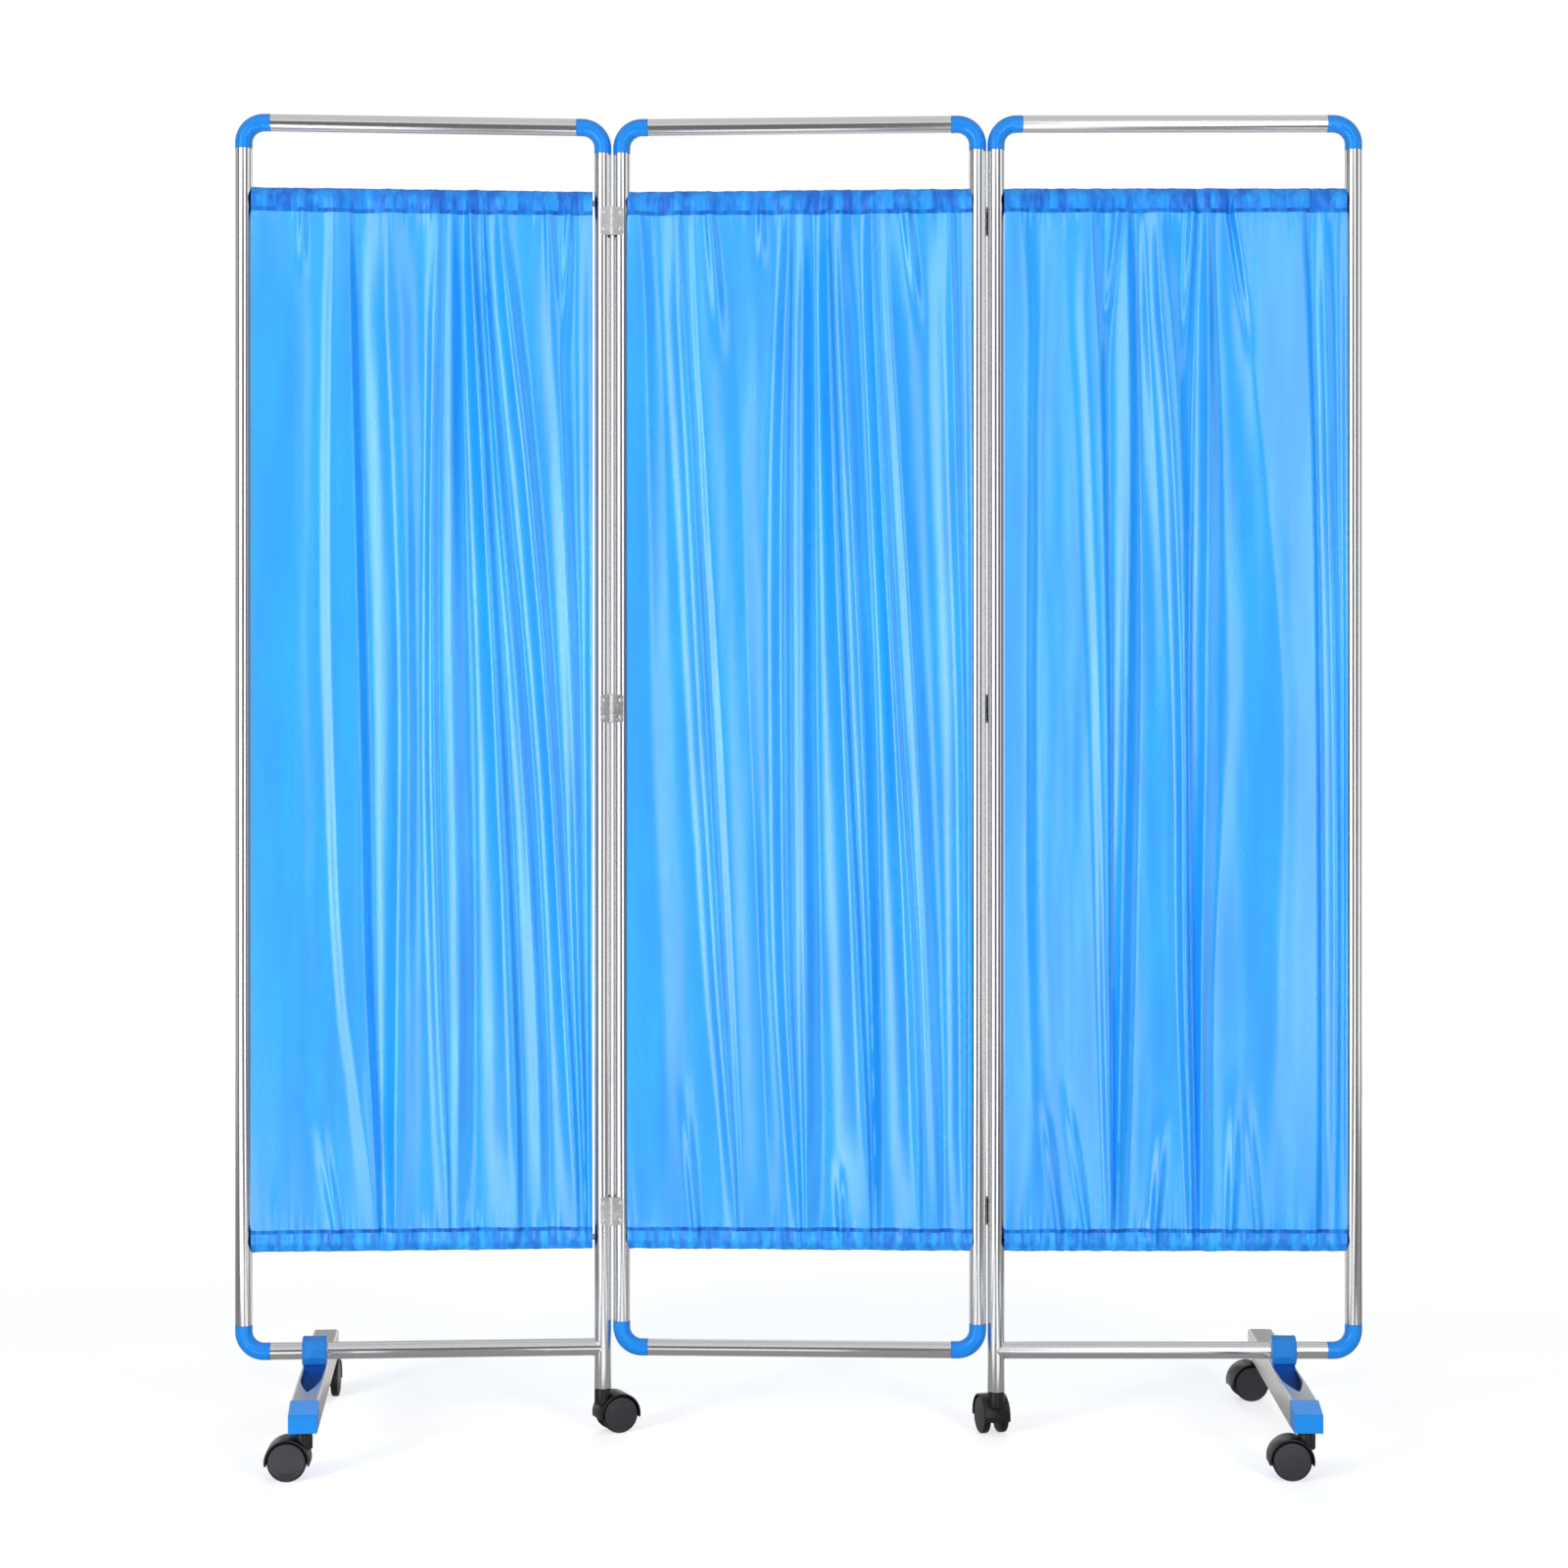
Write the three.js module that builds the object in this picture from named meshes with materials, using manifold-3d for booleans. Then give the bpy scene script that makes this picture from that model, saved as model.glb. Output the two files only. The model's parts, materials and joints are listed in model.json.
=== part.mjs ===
// A three-panel ward screen on castors, in millimetres, +Z up, its front towards -Y.
// The middle panel lies along X. The left wing folds forward and the right wing folds backward.
import * as THREE from "three";
import { mergeVertices } from "three/addons/utils/BufferGeometryUtils.js";
import Module from "manifold-3d";

const wasm = await Module();
wasm.setup();

// Fits and cutters
const CLEARANCE = 0.3; // gap between two pieces that touch
const OVERRUN = 3; // how far a cutter runs past what it cuts
const ROOT = 1.5; // how far a joined piece reaches into the one that carries it

// Panels
const OVERALL_HEIGHT = 1800;
const POST_SPACING = 487; // post axis to post axis within a panel
const FLAT_POST_GAP = 1.5; // between neighbouring posts when the panels stand in line
const LEFT_FOLD = 6; // degrees that the left wing stands folded forward
const RIGHT_FOLD = 2.2; // degrees that the right wing stands folded backward

// Tubes
const TUBE_OD = 23;
const TUBE_WALL = 1.2;
const TUBE_SIDES = 16;

// Elbows: a plastic bend the size of the tube, with a spigot inside each tube end
const ELBOW_BEND_RADIUS = 28;
const ELBOW_SLEEVE = 8; // straight length at each end of the bend
const SPIGOT_LENGTH = 18;
const ELBOW_STEPS = 6;
const SPIGOT_SIDES = 8;

// Curtain rods
const ROD_OD = 8;
const ROD_SIDES = 8;
const ROD_END_IN_POST = 6; // how far a rod's end reaches past the post's inner wall face
const TOP_ROD_DROP = 104; // from the axis of the top rail down to the axis of the top rod
const BOTTOM_ROD_RISE = 151; // from the axis of the bottom rail up to the axis of the bottom rod

// Curtains
const CURTAIN_SIDE_GAP = 1; // between the cloth and the post beside it
const CLOTH_THICKNESS = 2;
const HEADER_HEIGHT = 34;
const HEADER_ABOVE_ROD = 16; // cloth above the axis of the top rod
const HEM_HEIGHT = 30;
const HEM_BELOW_ROD = 16; // cloth below the axis of the bottom rod
const POCKET_DEPTH = 14; // front to back, over a rod
const FOLD_HEIGHT = 9; // how far the tallest fold stands out
const FOLD_HALF_WIDTH = 26;
const CURTAIN_COLUMNS = 40;
const CURTAIN_ROWS = 6;
// Each fold: where its ridge starts at the header and ends at the hem, as shares of the cloth's
// width from its left edge, and its height as a share of the tallest.
const LEFT_FOLD_SHARES = [
  [0.08, 0.13, 0.5],
  [0.22, 0.36, 0.6],
  [0.37, 0.4, 1],
  [0.55, 0.53, 0.8],
  [0.63, 0.76, 0.7],
  [0.72, 0.92, 0.6],
  [0.9, 0.97, 0.4],
];
const MIDDLE_FOLD_SHARES = [
  [0.1, 0.19, 0.7],
  [0.22, 0.3, 0.5],
  [0.44, 0.44, 1],
  [0.55, 0.6, 0.6],
  [0.66, 0.7, 0.8],
  [0.76, 0.82, 0.5],
  [0.89, 0.93, 0.7],
];
const RIGHT_FOLD_SHARES = [
  [0.06, 0.1, 0.4],
  [0.17, 0.26, 0.7],
  [0.42, 0.49, 1],
  [0.56, 0.54, 0.6],
  [0.68, 0.75, 0.8],
  [0.88, 0.92, 0.5],
];

// Hinges: three butt hinges at each joint, their leaves lying against the posts
const LEAF_THICKNESS = 1.5;
const LEAF_FACE_GAP = 0.2; // from the leaf's outer face to the plane of the pin
const LEAF_WIDTH = 15.5; // pin axis to the leaf's free edge
const LEAF_HEIGHT = 38;
const KNUCKLE_RADIUS = 2.8;
const KNUCKLE_HEIGHT = 12.6; // of the middle knuckle
const PIN_RADIUS = 1.5;
const KNUCKLE_SIDES = 8;
const UPPER_HINGE_DROP = 130; // from the axis of the top rail
const LOWER_HINGE_RISE = 188; // from the axis of the bottom rail
const MIDDLE_HINGE_HEIGHT = 992; // above the floor

// Castors: a twin wheel under a hood, which swivels on a stem
const CASTOR_HEIGHT = 60.5; // floor to the top of the hood's neck
const SWIVEL_GAP = 0.5; // from the neck's top to what it carries
const TRAIL = 20; // from the swivel axis to the axle
const WHEEL_RADIUS = 25;
const WHEEL_OUTER_FACE = 18; // from the middle of the castor
const WHEEL_INNER_FACE = 7.5;
const WHEEL_DISH = 1.5; // how far the outer face is dished inside its rim
const WHEEL_RIM = 4;
const WHEEL_SIDES = 20;
const AXLE_RADIUS = 3;
const AXLE_SIDES = 8;
const HOOD_INNER_RADIUS = 26.5;
const HOOD_OUTER_RADIUS = 29;
const HOOD_WIDTH = 37; // over both wheels
const HOOD_WEB = 12; // thickness of the plate between the wheels
const HOOD_DIP = 10; // degrees that the hood reaches below the axle on each side
const HOOD_STEPS = 12;
const NECK_RADIUS = 11.5;
const NECK_HEIGHT = 22;
const STEM_RADIUS = 5;
const STEM_LENGTH = 18;
const STEM_SIDES = 10;
const NECK_SIDES = 16;
const SOCKET_LENGTH = 22; // of the hole that holds a stem
// The way each castor trails, in degrees about +Z, as its screen was last pushed
const CASTOR_TRAILS = {
  left_front: 178,
  left_rear: 86,
  left_inner: 22,
  right_inner: 104,
  right_front: 180,
  right_rear: 190,
};

// Feet: a steel channel across the bottom rail, near the outer post of each wing
const FOOT_INSET = 96; // from the outer post's axis to the channel's middle
const FOOT_HALF_LENGTH = 237;
const FOOT_TOE = 2.7; // degrees that the front end is turned towards the screen's middle
const CASTOR_INSET = 22; // from the foot's end to the swivel axis
const CHANNEL_WIDTH = 36;
const CHANNEL_DEPTH = 35;
const CHANNEL_WALL = 2;
const CHANNEL_CORNER = 4; // outer radius of the bend between web and wall
const CHANNEL_CORNER_STEPS = 3;
const CAP_LENGTH = 40;
const CAP_NOSE_DROP = 10; // how far the cap's top slopes down to its front edge
const CAP_CHIN = 1.5; // the cap's underside above the channel's lower edges
const CAP_SPIGOT = 18;
const PLUG_LENGTH = 40; // of the block inside the channel's rear end, which holds the rear castor
const SLOT_EDGE = 3; // web left beside the slot
const SLOT_REAR = 25; // behind the rail's axis
const SLOT_STRAIGHT = 75; // in front of the rail's axis
const SLOT_TIP = 153; // in front of the rail's axis
const SLOT_TIP_STEPS = 7;

// Rail clamps: a ring round the bottom rail with a saddle and a tongue inside the channel's slot
const CLAMP_OD = 41.4; // it sits on the channel, and so sets the height of the bottom rail
const CLAMP_WIDTH = 33;
const CLAMP_SIDES = 20;
const SADDLE_FRONT = 16; // in front of the rail's axis
const SADDLE_REAR = 20;
const SADDLE_DEPTH = 28; // below the channel's top
const TONGUE_REACH = 60; // in front of the rail's axis
const TONGUE_TIP_DEPTH = 23; // the tip's upper edge below the channel's top
const TONGUE_TIP_WIDTH = 8;

// Worked out from the sizes above
const tubeRadius = TUBE_OD / 2;
const tubeBore = tubeRadius - TUBE_WALL;
const topRailHeight = OVERALL_HEIGHT - tubeRadius;
const carriedHeight = CASTOR_HEIGHT + SWIVEL_GAP; // underside of what a castor carries
const channelTop = carriedHeight + CHANNEL_DEPTH;
const clampRadius = CLAMP_OD / 2;
const bottomRailHeight = channelTop + CLEARANCE + clampRadius;
const elbowReach = ELBOW_BEND_RADIUS + ELBOW_SLEEVE;
const halfSpacing = POST_SPACING / 2;
const pinToPost = (TUBE_OD + FLAT_POST_GAP) / 2; // along the panel
const pinToPlane = tubeRadius + CLEARANCE + LEAF_THICKNESS + LEAF_FACE_GAP; // across the panel
const topRodHeight = topRailHeight - TOP_ROD_DROP;
const bottomRodHeight = bottomRailHeight + BOTTOM_ROD_RISE;
const rodHoleRadius = ROD_OD / 2 + CLEARANCE;
const curtainWidth = POST_SPACING - TUBE_OD - 2 * CURTAIN_SIDE_GAP;
const hingeHeights = {
  top: topRailHeight - UPPER_HINGE_DROP,
  middle: MIDDLE_HINGE_HEIGHT,
  bottom: bottomRailHeight + LOWER_HINGE_RISE,
};
const stemHoleRadius = STEM_RADIUS + CLEARANCE;
const clampBore = tubeRadius + CLEARANCE + (CLAMP_WIDTH / 2) * Math.tan(THREE.MathUtils.degToRad(FOOT_TOE));

// Finishes
const chrome = new THREE.MeshStandardMaterial({ color: 0xd9dbde, roughness: 0.12, metalness: 1 });
const steel = new THREE.MeshStandardMaterial({ color: 0xc9ccd0, roughness: 0.25, metalness: 1 });
const bluePlastic = new THREE.MeshStandardMaterial({ color: 0x1e8cf0, roughness: 0.3, metalness: 0 });
const blackPlastic = new THREE.MeshStandardMaterial({ color: 0x262529, roughness: 0.45, metalness: 0 });
const wheelPlastic = new THREE.MeshStandardMaterial({ color: 0x38373b, roughness: 0.5, metalness: 0 });
const blueCloth = new THREE.MeshStandardMaterial({ color: 0x4baafa, roughness: 0.6, metalness: 0 });

// Solids

function toSolid(geometry) {
  const bare = geometry.index ? geometry.toNonIndexed() : geometry.clone();
  bare.deleteAttribute("normal");
  bare.deleteAttribute("uv");
  const merged = mergeVertices(bare, 1e-4);
  return new wasm.Manifold(
    new wasm.Mesh({
      numProp: 3,
      vertProperties: merged.attributes.position.array,
      triVerts: new Uint32Array(merged.index.array),
    }),
  );
}

function toGeometry(solid) {
  const mesh = solid.getMesh();
  return new THREE.BufferGeometry()
    .setAttribute("position", new THREE.BufferAttribute(new Float32Array(mesh.vertProperties), 3))
    .setIndex(new THREE.BufferAttribute(new Uint32Array(mesh.triVerts), 1));
}

function join(...geometries) {
  return toGeometry(geometries.map(toSolid).reduce((a, b) => a.add(b)));
}

function cut(geometry, ...cutters) {
  return toGeometry(cutters.map(toSolid).reduce((a, b) => a.subtract(b), toSolid(geometry)));
}

function overlap(geometry, other) {
  return toGeometry(toSolid(geometry).intersect(toSolid(other)));
}

// A round bar from low to high along an axis through the origin.
function bar(axis, radius, low, high, sides) {
  const geometry = new THREE.CylinderGeometry(radius, radius, high - low, sides);
  geometry.translate(0, (low + high) / 2, 0);
  if (axis === "x") geometry.rotateZ(-Math.PI / 2);
  if (axis === "z") geometry.rotateX(Math.PI / 2);
  return geometry;
}

// A round tube from low to high along an axis through the origin.
function tube(axis, low, high) {
  const wall = [
    [tubeBore, low],
    [tubeRadius, low],
    [tubeRadius, high],
    [tubeBore, high],
    [tubeBore, low],
  ];
  const geometry = new THREE.LatheGeometry(wall.map(([r, h]) => new THREE.Vector2(r, h)), TUBE_SIDES);
  if (axis === "x") geometry.rotateZ(-Math.PI / 2);
  if (axis === "z") geometry.rotateX(Math.PI / 2);
  return geometry;
}

// A box between two corners.
function block(x0, x1, y0, y1, z0, z1) {
  const geometry = new THREE.BoxGeometry(x1 - x0, y1 - y0, z1 - z0);
  return geometry.translate((x0 + x1) / 2, (y0 + y1) / 2, (z0 + z1) / 2);
}

function outline(points) {
  return new THREE.Shape(points.map(([a, b]) => new THREE.Vector2(a, b)));
}

// An outline in Y and Z, drawn out along X from x0 to x1.
function drawnAlongX(points, x0, x1) {
  const geometry = new THREE.ExtrudeGeometry(outline(points), { depth: x1 - x0, bevelEnabled: false });
  geometry.rotateX(Math.PI / 2).rotateZ(Math.PI / 2);
  return geometry.translate(x0, 0, 0);
}

// An outline in X and Z, drawn out along Y from y0 to y1.
function drawnAlongY(points, y0, y1) {
  const geometry = new THREE.ExtrudeGeometry(outline(points), { depth: y1 - y0, bevelEnabled: false });
  return geometry.rotateX(Math.PI / 2).translate(0, y1, 0);
}

// An outline in X and Y, drawn out along Z from z0 to z1.
function drawnAlongZ(points, z0, z1) {
  const geometry = new THREE.ExtrudeGeometry(outline(points), { depth: z1 - z0, bevelEnabled: false });
  return geometry.translate(0, 0, z0);
}

// Frame pieces. Each is made in its panel's own frame: X along the panel, Z up from the floor.

// The centre line of an elbow: straight, a quarter turn, straight.
class ElbowLine extends THREE.Curve {
  constructor(toX, toZ) {
    super();
    this.toX = toX;
    this.toZ = toZ;
  }

  getPoint(t) {
    const turn = (ELBOW_BEND_RADIUS * Math.PI) / 2;
    const along = t * (2 * ELBOW_SLEEVE + turn) - ELBOW_SLEEVE;
    const angle = THREE.MathUtils.clamp(along / turn, 0, 1) * (Math.PI / 2);
    const before = Math.max(0, -along);
    const after = Math.max(0, along - turn);
    const x = ELBOW_BEND_RADIUS * (1 - Math.sin(angle)) + before;
    const z = ELBOW_BEND_RADIUS * (1 - Math.cos(angle)) + after;
    return new THREE.Vector3(this.toX * x, 0, this.toZ * z);
  }
}

// An elbow at a corner of a panel. It opens towards toX along the rail and toZ along the post.
function elbow(toX, toZ) {
  const section = new THREE.EllipseCurve(0, 0, tubeRadius, tubeRadius).getPoints(TUBE_SIDES).slice(0, -1);
  const bend = new THREE.ExtrudeGeometry(new THREE.Shape(section), {
    steps: ELBOW_STEPS,
    extrudePath: new ElbowLine(toX, toZ),
  });
  const spigotRadius = tubeBore - CLEARANCE;
  const root = elbowReach - ROOT;
  const end = elbowReach + SPIGOT_LENGTH;
  const alongRail = bar("x", spigotRadius, toX > 0 ? root : -end, toX > 0 ? end : -root, SPIGOT_SIDES);
  const alongPost = bar("z", spigotRadius, toZ > 0 ? root : -end, toZ > 0 ? end : -root, SPIGOT_SIDES);
  return join(bend, alongRail, alongPost);
}

// The two holes in a post's wall, on its panel side, where the rods' ends sit.
function rodHoles(toPanel) {
  const hole = () => bar("x", rodHoleRadius, 0, tubeRadius + OVERRUN, ROD_SIDES).scale(toPanel, 1, 1);
  return [topRodHeight, bottomRodHeight].map((z) => faceOut(hole(), toPanel).translate(0, 0, z));
}

// Turns a mirrored geometry's faces back out.
function faceOut(geometry, direction) {
  if (direction > 0) return geometry;
  const flipped = geometry.index ? geometry.toNonIndexed() : geometry;
  const p = flipped.attributes.position;
  for (let i = 0; i < p.count; i += 3) {
    const [x, y, z] = [p.getX(i), p.getY(i), p.getZ(i)];
    p.setXYZ(i, p.getX(i + 1), p.getY(i + 1), p.getZ(i + 1));
    p.setXYZ(i + 1, x, y, z);
  }
  return flipped;
}

// A post between two elbows, with its rod holes facing the panel.
function cornerPost(toPanel) {
  const low = bottomRailHeight + elbowReach + CLEARANCE;
  const high = topRailHeight - elbowReach - CLEARANCE;
  return cut(tube("z", low, high), ...rodHoles(toPanel));
}

// A rail between two elbows, centred on the panel.
function elbowedRail() {
  const half = halfSpacing - elbowReach - CLEARANCE;
  return tube("x", -half, half);
}

// The inner post of a wing: it runs down past the bottom rail to a castor, and holds its stem.
function castorPost(toPanel) {
  const high = topRailHeight - elbowReach - CLEARANCE;
  const socketTop = carriedHeight + SOCKET_LENGTH;
  const bush = bar("z", tubeRadius - TUBE_WALL / 2, carriedHeight, socketTop, TUBE_SIDES);
  const stemHole = bar("z", stemHoleRadius, carriedHeight - OVERRUN, socketTop + OVERRUN, STEM_SIDES);
  return cut(join(tube("z", carriedHeight, high), bush), ...rodHoles(toPanel), stemHole);
}

// The bottom rail of a wing, from the inner post's axis at the origin. Its end is coped to the post.
function copedRail(toPanel) {
  const end = POST_SPACING - elbowReach - CLEARANCE;
  const rail = tube("x", toPanel > 0 ? 0 : -end, toPanel > 0 ? end : 0);
  const reach = tubeRadius + OVERRUN;
  return cut(rail, bar("z", tubeRadius + CLEARANCE, -reach, reach, TUBE_SIDES));
}

// A curtain rod, its ends in the holes of the two posts.
function curtainRod() {
  const half = halfSpacing - tubeRadius + ROD_END_IN_POST;
  return bar("x", ROD_OD / 2, -half, half, ROD_SIDES);
}

// Height of the cloth's folds at a share of its width and a share of its drop from the header.
function foldHeight(folds, across, down) {
  const fade = Math.sin(Math.PI * down) ** 0.5;
  const half = FOLD_HALF_WIDTH / curtainWidth;
  let height = 0;
  for (const [top, bottom, tall] of folds) {
    const away = Math.abs(across - (top + (bottom - top) * down)) / half;
    if (away < 1) height += (tall * (1 + Math.cos(Math.PI * away))) / 2;
  }
  return FOLD_HEIGHT * fade * (height - 0.5);
}

// The hanging cloth between header and hem, as one closed sheet with its main folds.
function hangingCloth(folds, low, high) {
  const positions = [];
  const grid = (row, column, side) => {
    const across = column / CURTAIN_COLUMNS;
    const down = 1 - row / CURTAIN_ROWS;
    const x = (across - 0.5) * curtainWidth;
    const y = (side * CLOTH_THICKNESS) / 2 - foldHeight(folds, across, down);
    return [x, y, low + (high - low) * (row / CURTAIN_ROWS)];
  };
  const quad = (a, b, c, d) => positions.push(...a, ...b, ...c, ...a, ...c, ...d);
  for (let row = 0; row < CURTAIN_ROWS; row++) {
    for (let column = 0; column < CURTAIN_COLUMNS; column++) {
      for (const side of [-1, 1]) {
        const corners = [
          grid(row, column, side),
          grid(row, column + 1, side),
          grid(row + 1, column + 1, side),
          grid(row + 1, column, side),
        ];
        if (side > 0) corners.reverse();
        quad(...corners);
      }
    }
    quad(grid(row, 0, 1), grid(row, 0, -1), grid(row + 1, 0, -1), grid(row + 1, 0, 1));
    const last = CURTAIN_COLUMNS;
    quad(grid(row, last, -1), grid(row, last, 1), grid(row + 1, last, 1), grid(row + 1, last, -1));
  }
  for (let column = 0; column < CURTAIN_COLUMNS; column++) {
    quad(grid(0, column, 1), grid(0, column + 1, 1), grid(0, column + 1, -1), grid(0, column, -1));
    const top = CURTAIN_ROWS;
    quad(grid(top, column, -1), grid(top, column + 1, -1), grid(top, column + 1, 1), grid(top, column, 1));
  }
  return new THREE.BufferGeometry().setAttribute("position", new THREE.Float32BufferAttribute(positions, 3));
}

// A pocket of cloth round a rod: a pointed oval between low and high, fullest at the rod.
function pocket(low, high, rodHeight) {
  const half = POCKET_DEPTH / 2;
  const lip = CLOTH_THICKNESS / 2;
  const shoulder = ROD_OD / 2;
  const profile = [
    [-lip, low],
    [lip, low],
    [half, rodHeight - shoulder],
    [half, rodHeight + shoulder],
    [lip, high],
    [-lip, high],
    [-half, rodHeight + shoulder],
    [-half, rodHeight - shoulder],
  ];
  return drawnAlongX(profile, -curtainWidth / 2, curtainWidth / 2);
}

// A curtain: gathered cloth with a pocket round the rod at its top and at its bottom.
function curtain(folds) {
  const top = topRodHeight + HEADER_ABOVE_ROD;
  const bottom = bottomRodHeight - HEM_BELOW_ROD;
  const headerLow = top - HEADER_HEIGHT;
  const hemHigh = bottom + HEM_HEIGHT;
  const cloth = hangingCloth(folds, hemHigh - ROOT, headerLow + ROOT);
  const sewn = join(cloth, pocket(headerLow, top, topRodHeight), pocket(bottom, hemHigh, bottomRodHeight));
  const reach = curtainWidth / 2 + OVERRUN;
  const bore = (z) => bar("x", rodHoleRadius, -reach, reach, ROD_SIDES).translate(0, 0, z);
  return cut(sewn, bore(topRodHeight), bore(bottomRodHeight));
}

// Hinge leaves, round a pin along Z at the origin. A leaf lies towards toX, and its post towards toY.

function leafPlate(toX, toY, notches) {
  const x = [0, toX * LEAF_WIDTH].sort((a, b) => a - b);
  const y = [toY * LEAF_FACE_GAP, toY * (LEAF_FACE_GAP + LEAF_THICKNESS)].sort((a, b) => a - b);
  const plate = block(...x, ...y, -LEAF_HEIGHT / 2, LEAF_HEIGHT / 2);
  const space = KNUCKLE_RADIUS + CLEARANCE;
  return cut(plate, ...notches.map(([z0, z1]) => block(-space, space, -space, space, z0, z1)));
}

// The middle panel's leaf: two knuckles and the pin.
function leafWithPin(toX, toY) {
  const gap = KNUCKLE_HEIGHT / 2 + CLEARANCE;
  const end = LEAF_HEIGHT / 2;
  const plate = leafPlate(toX, toY, [[-gap, gap]]);
  const lower = bar("z", KNUCKLE_RADIUS, -end, -gap, KNUCKLE_SIDES);
  const upper = bar("z", KNUCKLE_RADIUS, gap, end, KNUCKLE_SIDES);
  return join(plate, lower, upper, bar("z", PIN_RADIUS, -gap - ROOT, gap + ROOT, KNUCKLE_SIDES));
}

// The wing's leaf: one knuckle, bored for the pin.
function leafWithBore(toX, toY) {
  const half = KNUCKLE_HEIGHT / 2;
  const end = LEAF_HEIGHT / 2 + OVERRUN;
  const plate = leafPlate(toX, toY, [
    [-end, -half],
    [half, end],
  ]);
  const knuckle = bar("z", KNUCKLE_RADIUS, -half, half, KNUCKLE_SIDES);
  const bore = bar("z", PIN_RADIUS + CLEARANCE, -half - OVERRUN, half + OVERRUN, KNUCKLE_SIDES);
  return cut(join(plate, knuckle), bore);
}

// Castor pieces. The swivel axis is Z through the origin, and the axle lies along Y at X = TRAIL.

// Points on an arc about the axle, in X and Z, from one angle to another in degrees.
function arcPoints(radius, from, to) {
  return Array.from({ length: HOOD_STEPS + 1 }, (_, i) => {
    const angle = THREE.MathUtils.degToRad(from + ((to - from) * i) / HOOD_STEPS);
    return [TRAIL + radius * Math.cos(angle), WHEEL_RADIUS + radius * Math.sin(angle)];
  });
}

function castorHood() {
  const outer = arcPoints(HOOD_OUTER_RADIUS, -HOOD_DIP, 180 + HOOD_DIP);
  const inner = arcPoints(HOOD_INNER_RADIUS, 180 + HOOD_DIP, -HOOD_DIP);
  const shell = drawnAlongY([...outer, ...inner], -HOOD_WIDTH / 2, HOOD_WIDTH / 2);
  const web = drawnAlongY(outer, -HOOD_WEB / 2, HOOD_WEB / 2);
  const neck = bar("z", NECK_RADIUS, CASTOR_HEIGHT - NECK_HEIGHT, CASTOR_HEIGHT, NECK_SIDES);
  const wheelSpace = (y0, y1) =>
    bar("y", HOOD_INNER_RADIUS, y0, y1, WHEEL_SIDES).translate(TRAIL, 0, WHEEL_RADIUS);
  const sideLow = HOOD_WEB / 2;
  const sideHigh = HOOD_WIDTH / 2 + OVERRUN;
  const neckOverWheels = cut(neck, wheelSpace(sideLow, sideHigh), wheelSpace(-sideHigh, -sideLow));
  const stem = bar("z", STEM_RADIUS, CASTOR_HEIGHT - ROOT, CASTOR_HEIGHT + STEM_LENGTH, STEM_SIDES);
  const halfWeb = HOOD_WEB / 2 + OVERRUN;
  const axleHole = bar("y", AXLE_RADIUS + CLEARANCE, -halfWeb, halfWeb, AXLE_SIDES);
  axleHole.translate(TRAIL, 0, WHEEL_RADIUS);
  return cut(join(shell, web, neckOverWheels, stem), axleHole);
}

// Both wheels and the axle between them. A flat of the tread lies on the floor.
function castorWheels() {
  const tread = WHEEL_RADIUS / Math.cos(Math.PI / WHEEL_SIDES);
  const dish = WHEEL_OUTER_FACE - WHEEL_DISH;
  const half = [
    [0, dish],
    [tread - WHEEL_RIM, dish],
    [tread - WHEEL_RIM, WHEEL_OUTER_FACE],
    [tread, WHEEL_OUTER_FACE],
    [tread, WHEEL_INNER_FACE],
    [AXLE_RADIUS, WHEEL_INNER_FACE],
  ];
  const profile = [...half.map(([r, h]) => [r, -h]), ...half.reverse()];
  const points = profile.map(([r, h]) => new THREE.Vector2(r, h));
  const facetDown = Math.PI / WHEEL_SIDES;
  const geometry = new THREE.LatheGeometry(points, WHEEL_SIDES, facetDown);
  return geometry.translate(TRAIL, 0, WHEEL_RADIUS);
}

// Foot pieces. X is across the foot, the front is towards -Y, and the rail's axis is X at Y = 0.

function channelSection() {
  const half = CHANNEL_WIDTH / 2;
  const corner = (toX) =>
    Array.from({ length: CHANNEL_CORNER_STEPS + 1 }, (_, i) => {
      const angle = (Math.PI / 2) * (i / CHANNEL_CORNER_STEPS);
      const out = CHANNEL_CORNER * (1 - Math.cos(angle));
      return [toX * (half - out), channelTop - CHANNEL_CORNER * (1 - Math.sin(angle))];
    });
  const inner = half - CHANNEL_WALL;
  return [
    [half, carriedHeight],
    ...corner(1),
    ...corner(-1).reverse(),
    [-half, carriedHeight],
    [-inner, carriedHeight],
    [-inner, channelTop - CHANNEL_WALL],
    [inner, channelTop - CHANNEL_WALL],
    [inner, carriedHeight],
  ];
}

// The slot in the channel's web: straight beside the rail, drawn in to a rounded point in front.
function slotOutline() {
  const half = CHANNEL_WIDTH / 2 - SLOT_EDGE;
  const side = Array.from({ length: SLOT_TIP_STEPS }, (_, i) => {
    const share = i / SLOT_TIP_STEPS;
    return [half * (1 - share ** 1.7), -SLOT_STRAIGHT - (SLOT_TIP - SLOT_STRAIGHT) * share];
  });
  const mirrored = side.map(([x, y]) => [-x, y]).reverse();
  return [[-half, SLOT_REAR], ...mirrored.reverse(), [0, -SLOT_TIP], ...side.reverse(), [half, SLOT_REAR]];
}

// The channel runs from the front cap to the foot's rear end.
function footChannel() {
  const front = -FOOT_HALF_LENGTH + CAP_LENGTH + CLEARANCE;
  const channel = drawnAlongY(channelSection(), front, FOOT_HALF_LENGTH);
  const slot = drawnAlongZ(slotOutline(), channelTop - CHANNEL_WALL - OVERRUN, channelTop + OVERRUN);
  return cut(channel, slot);
}

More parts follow.
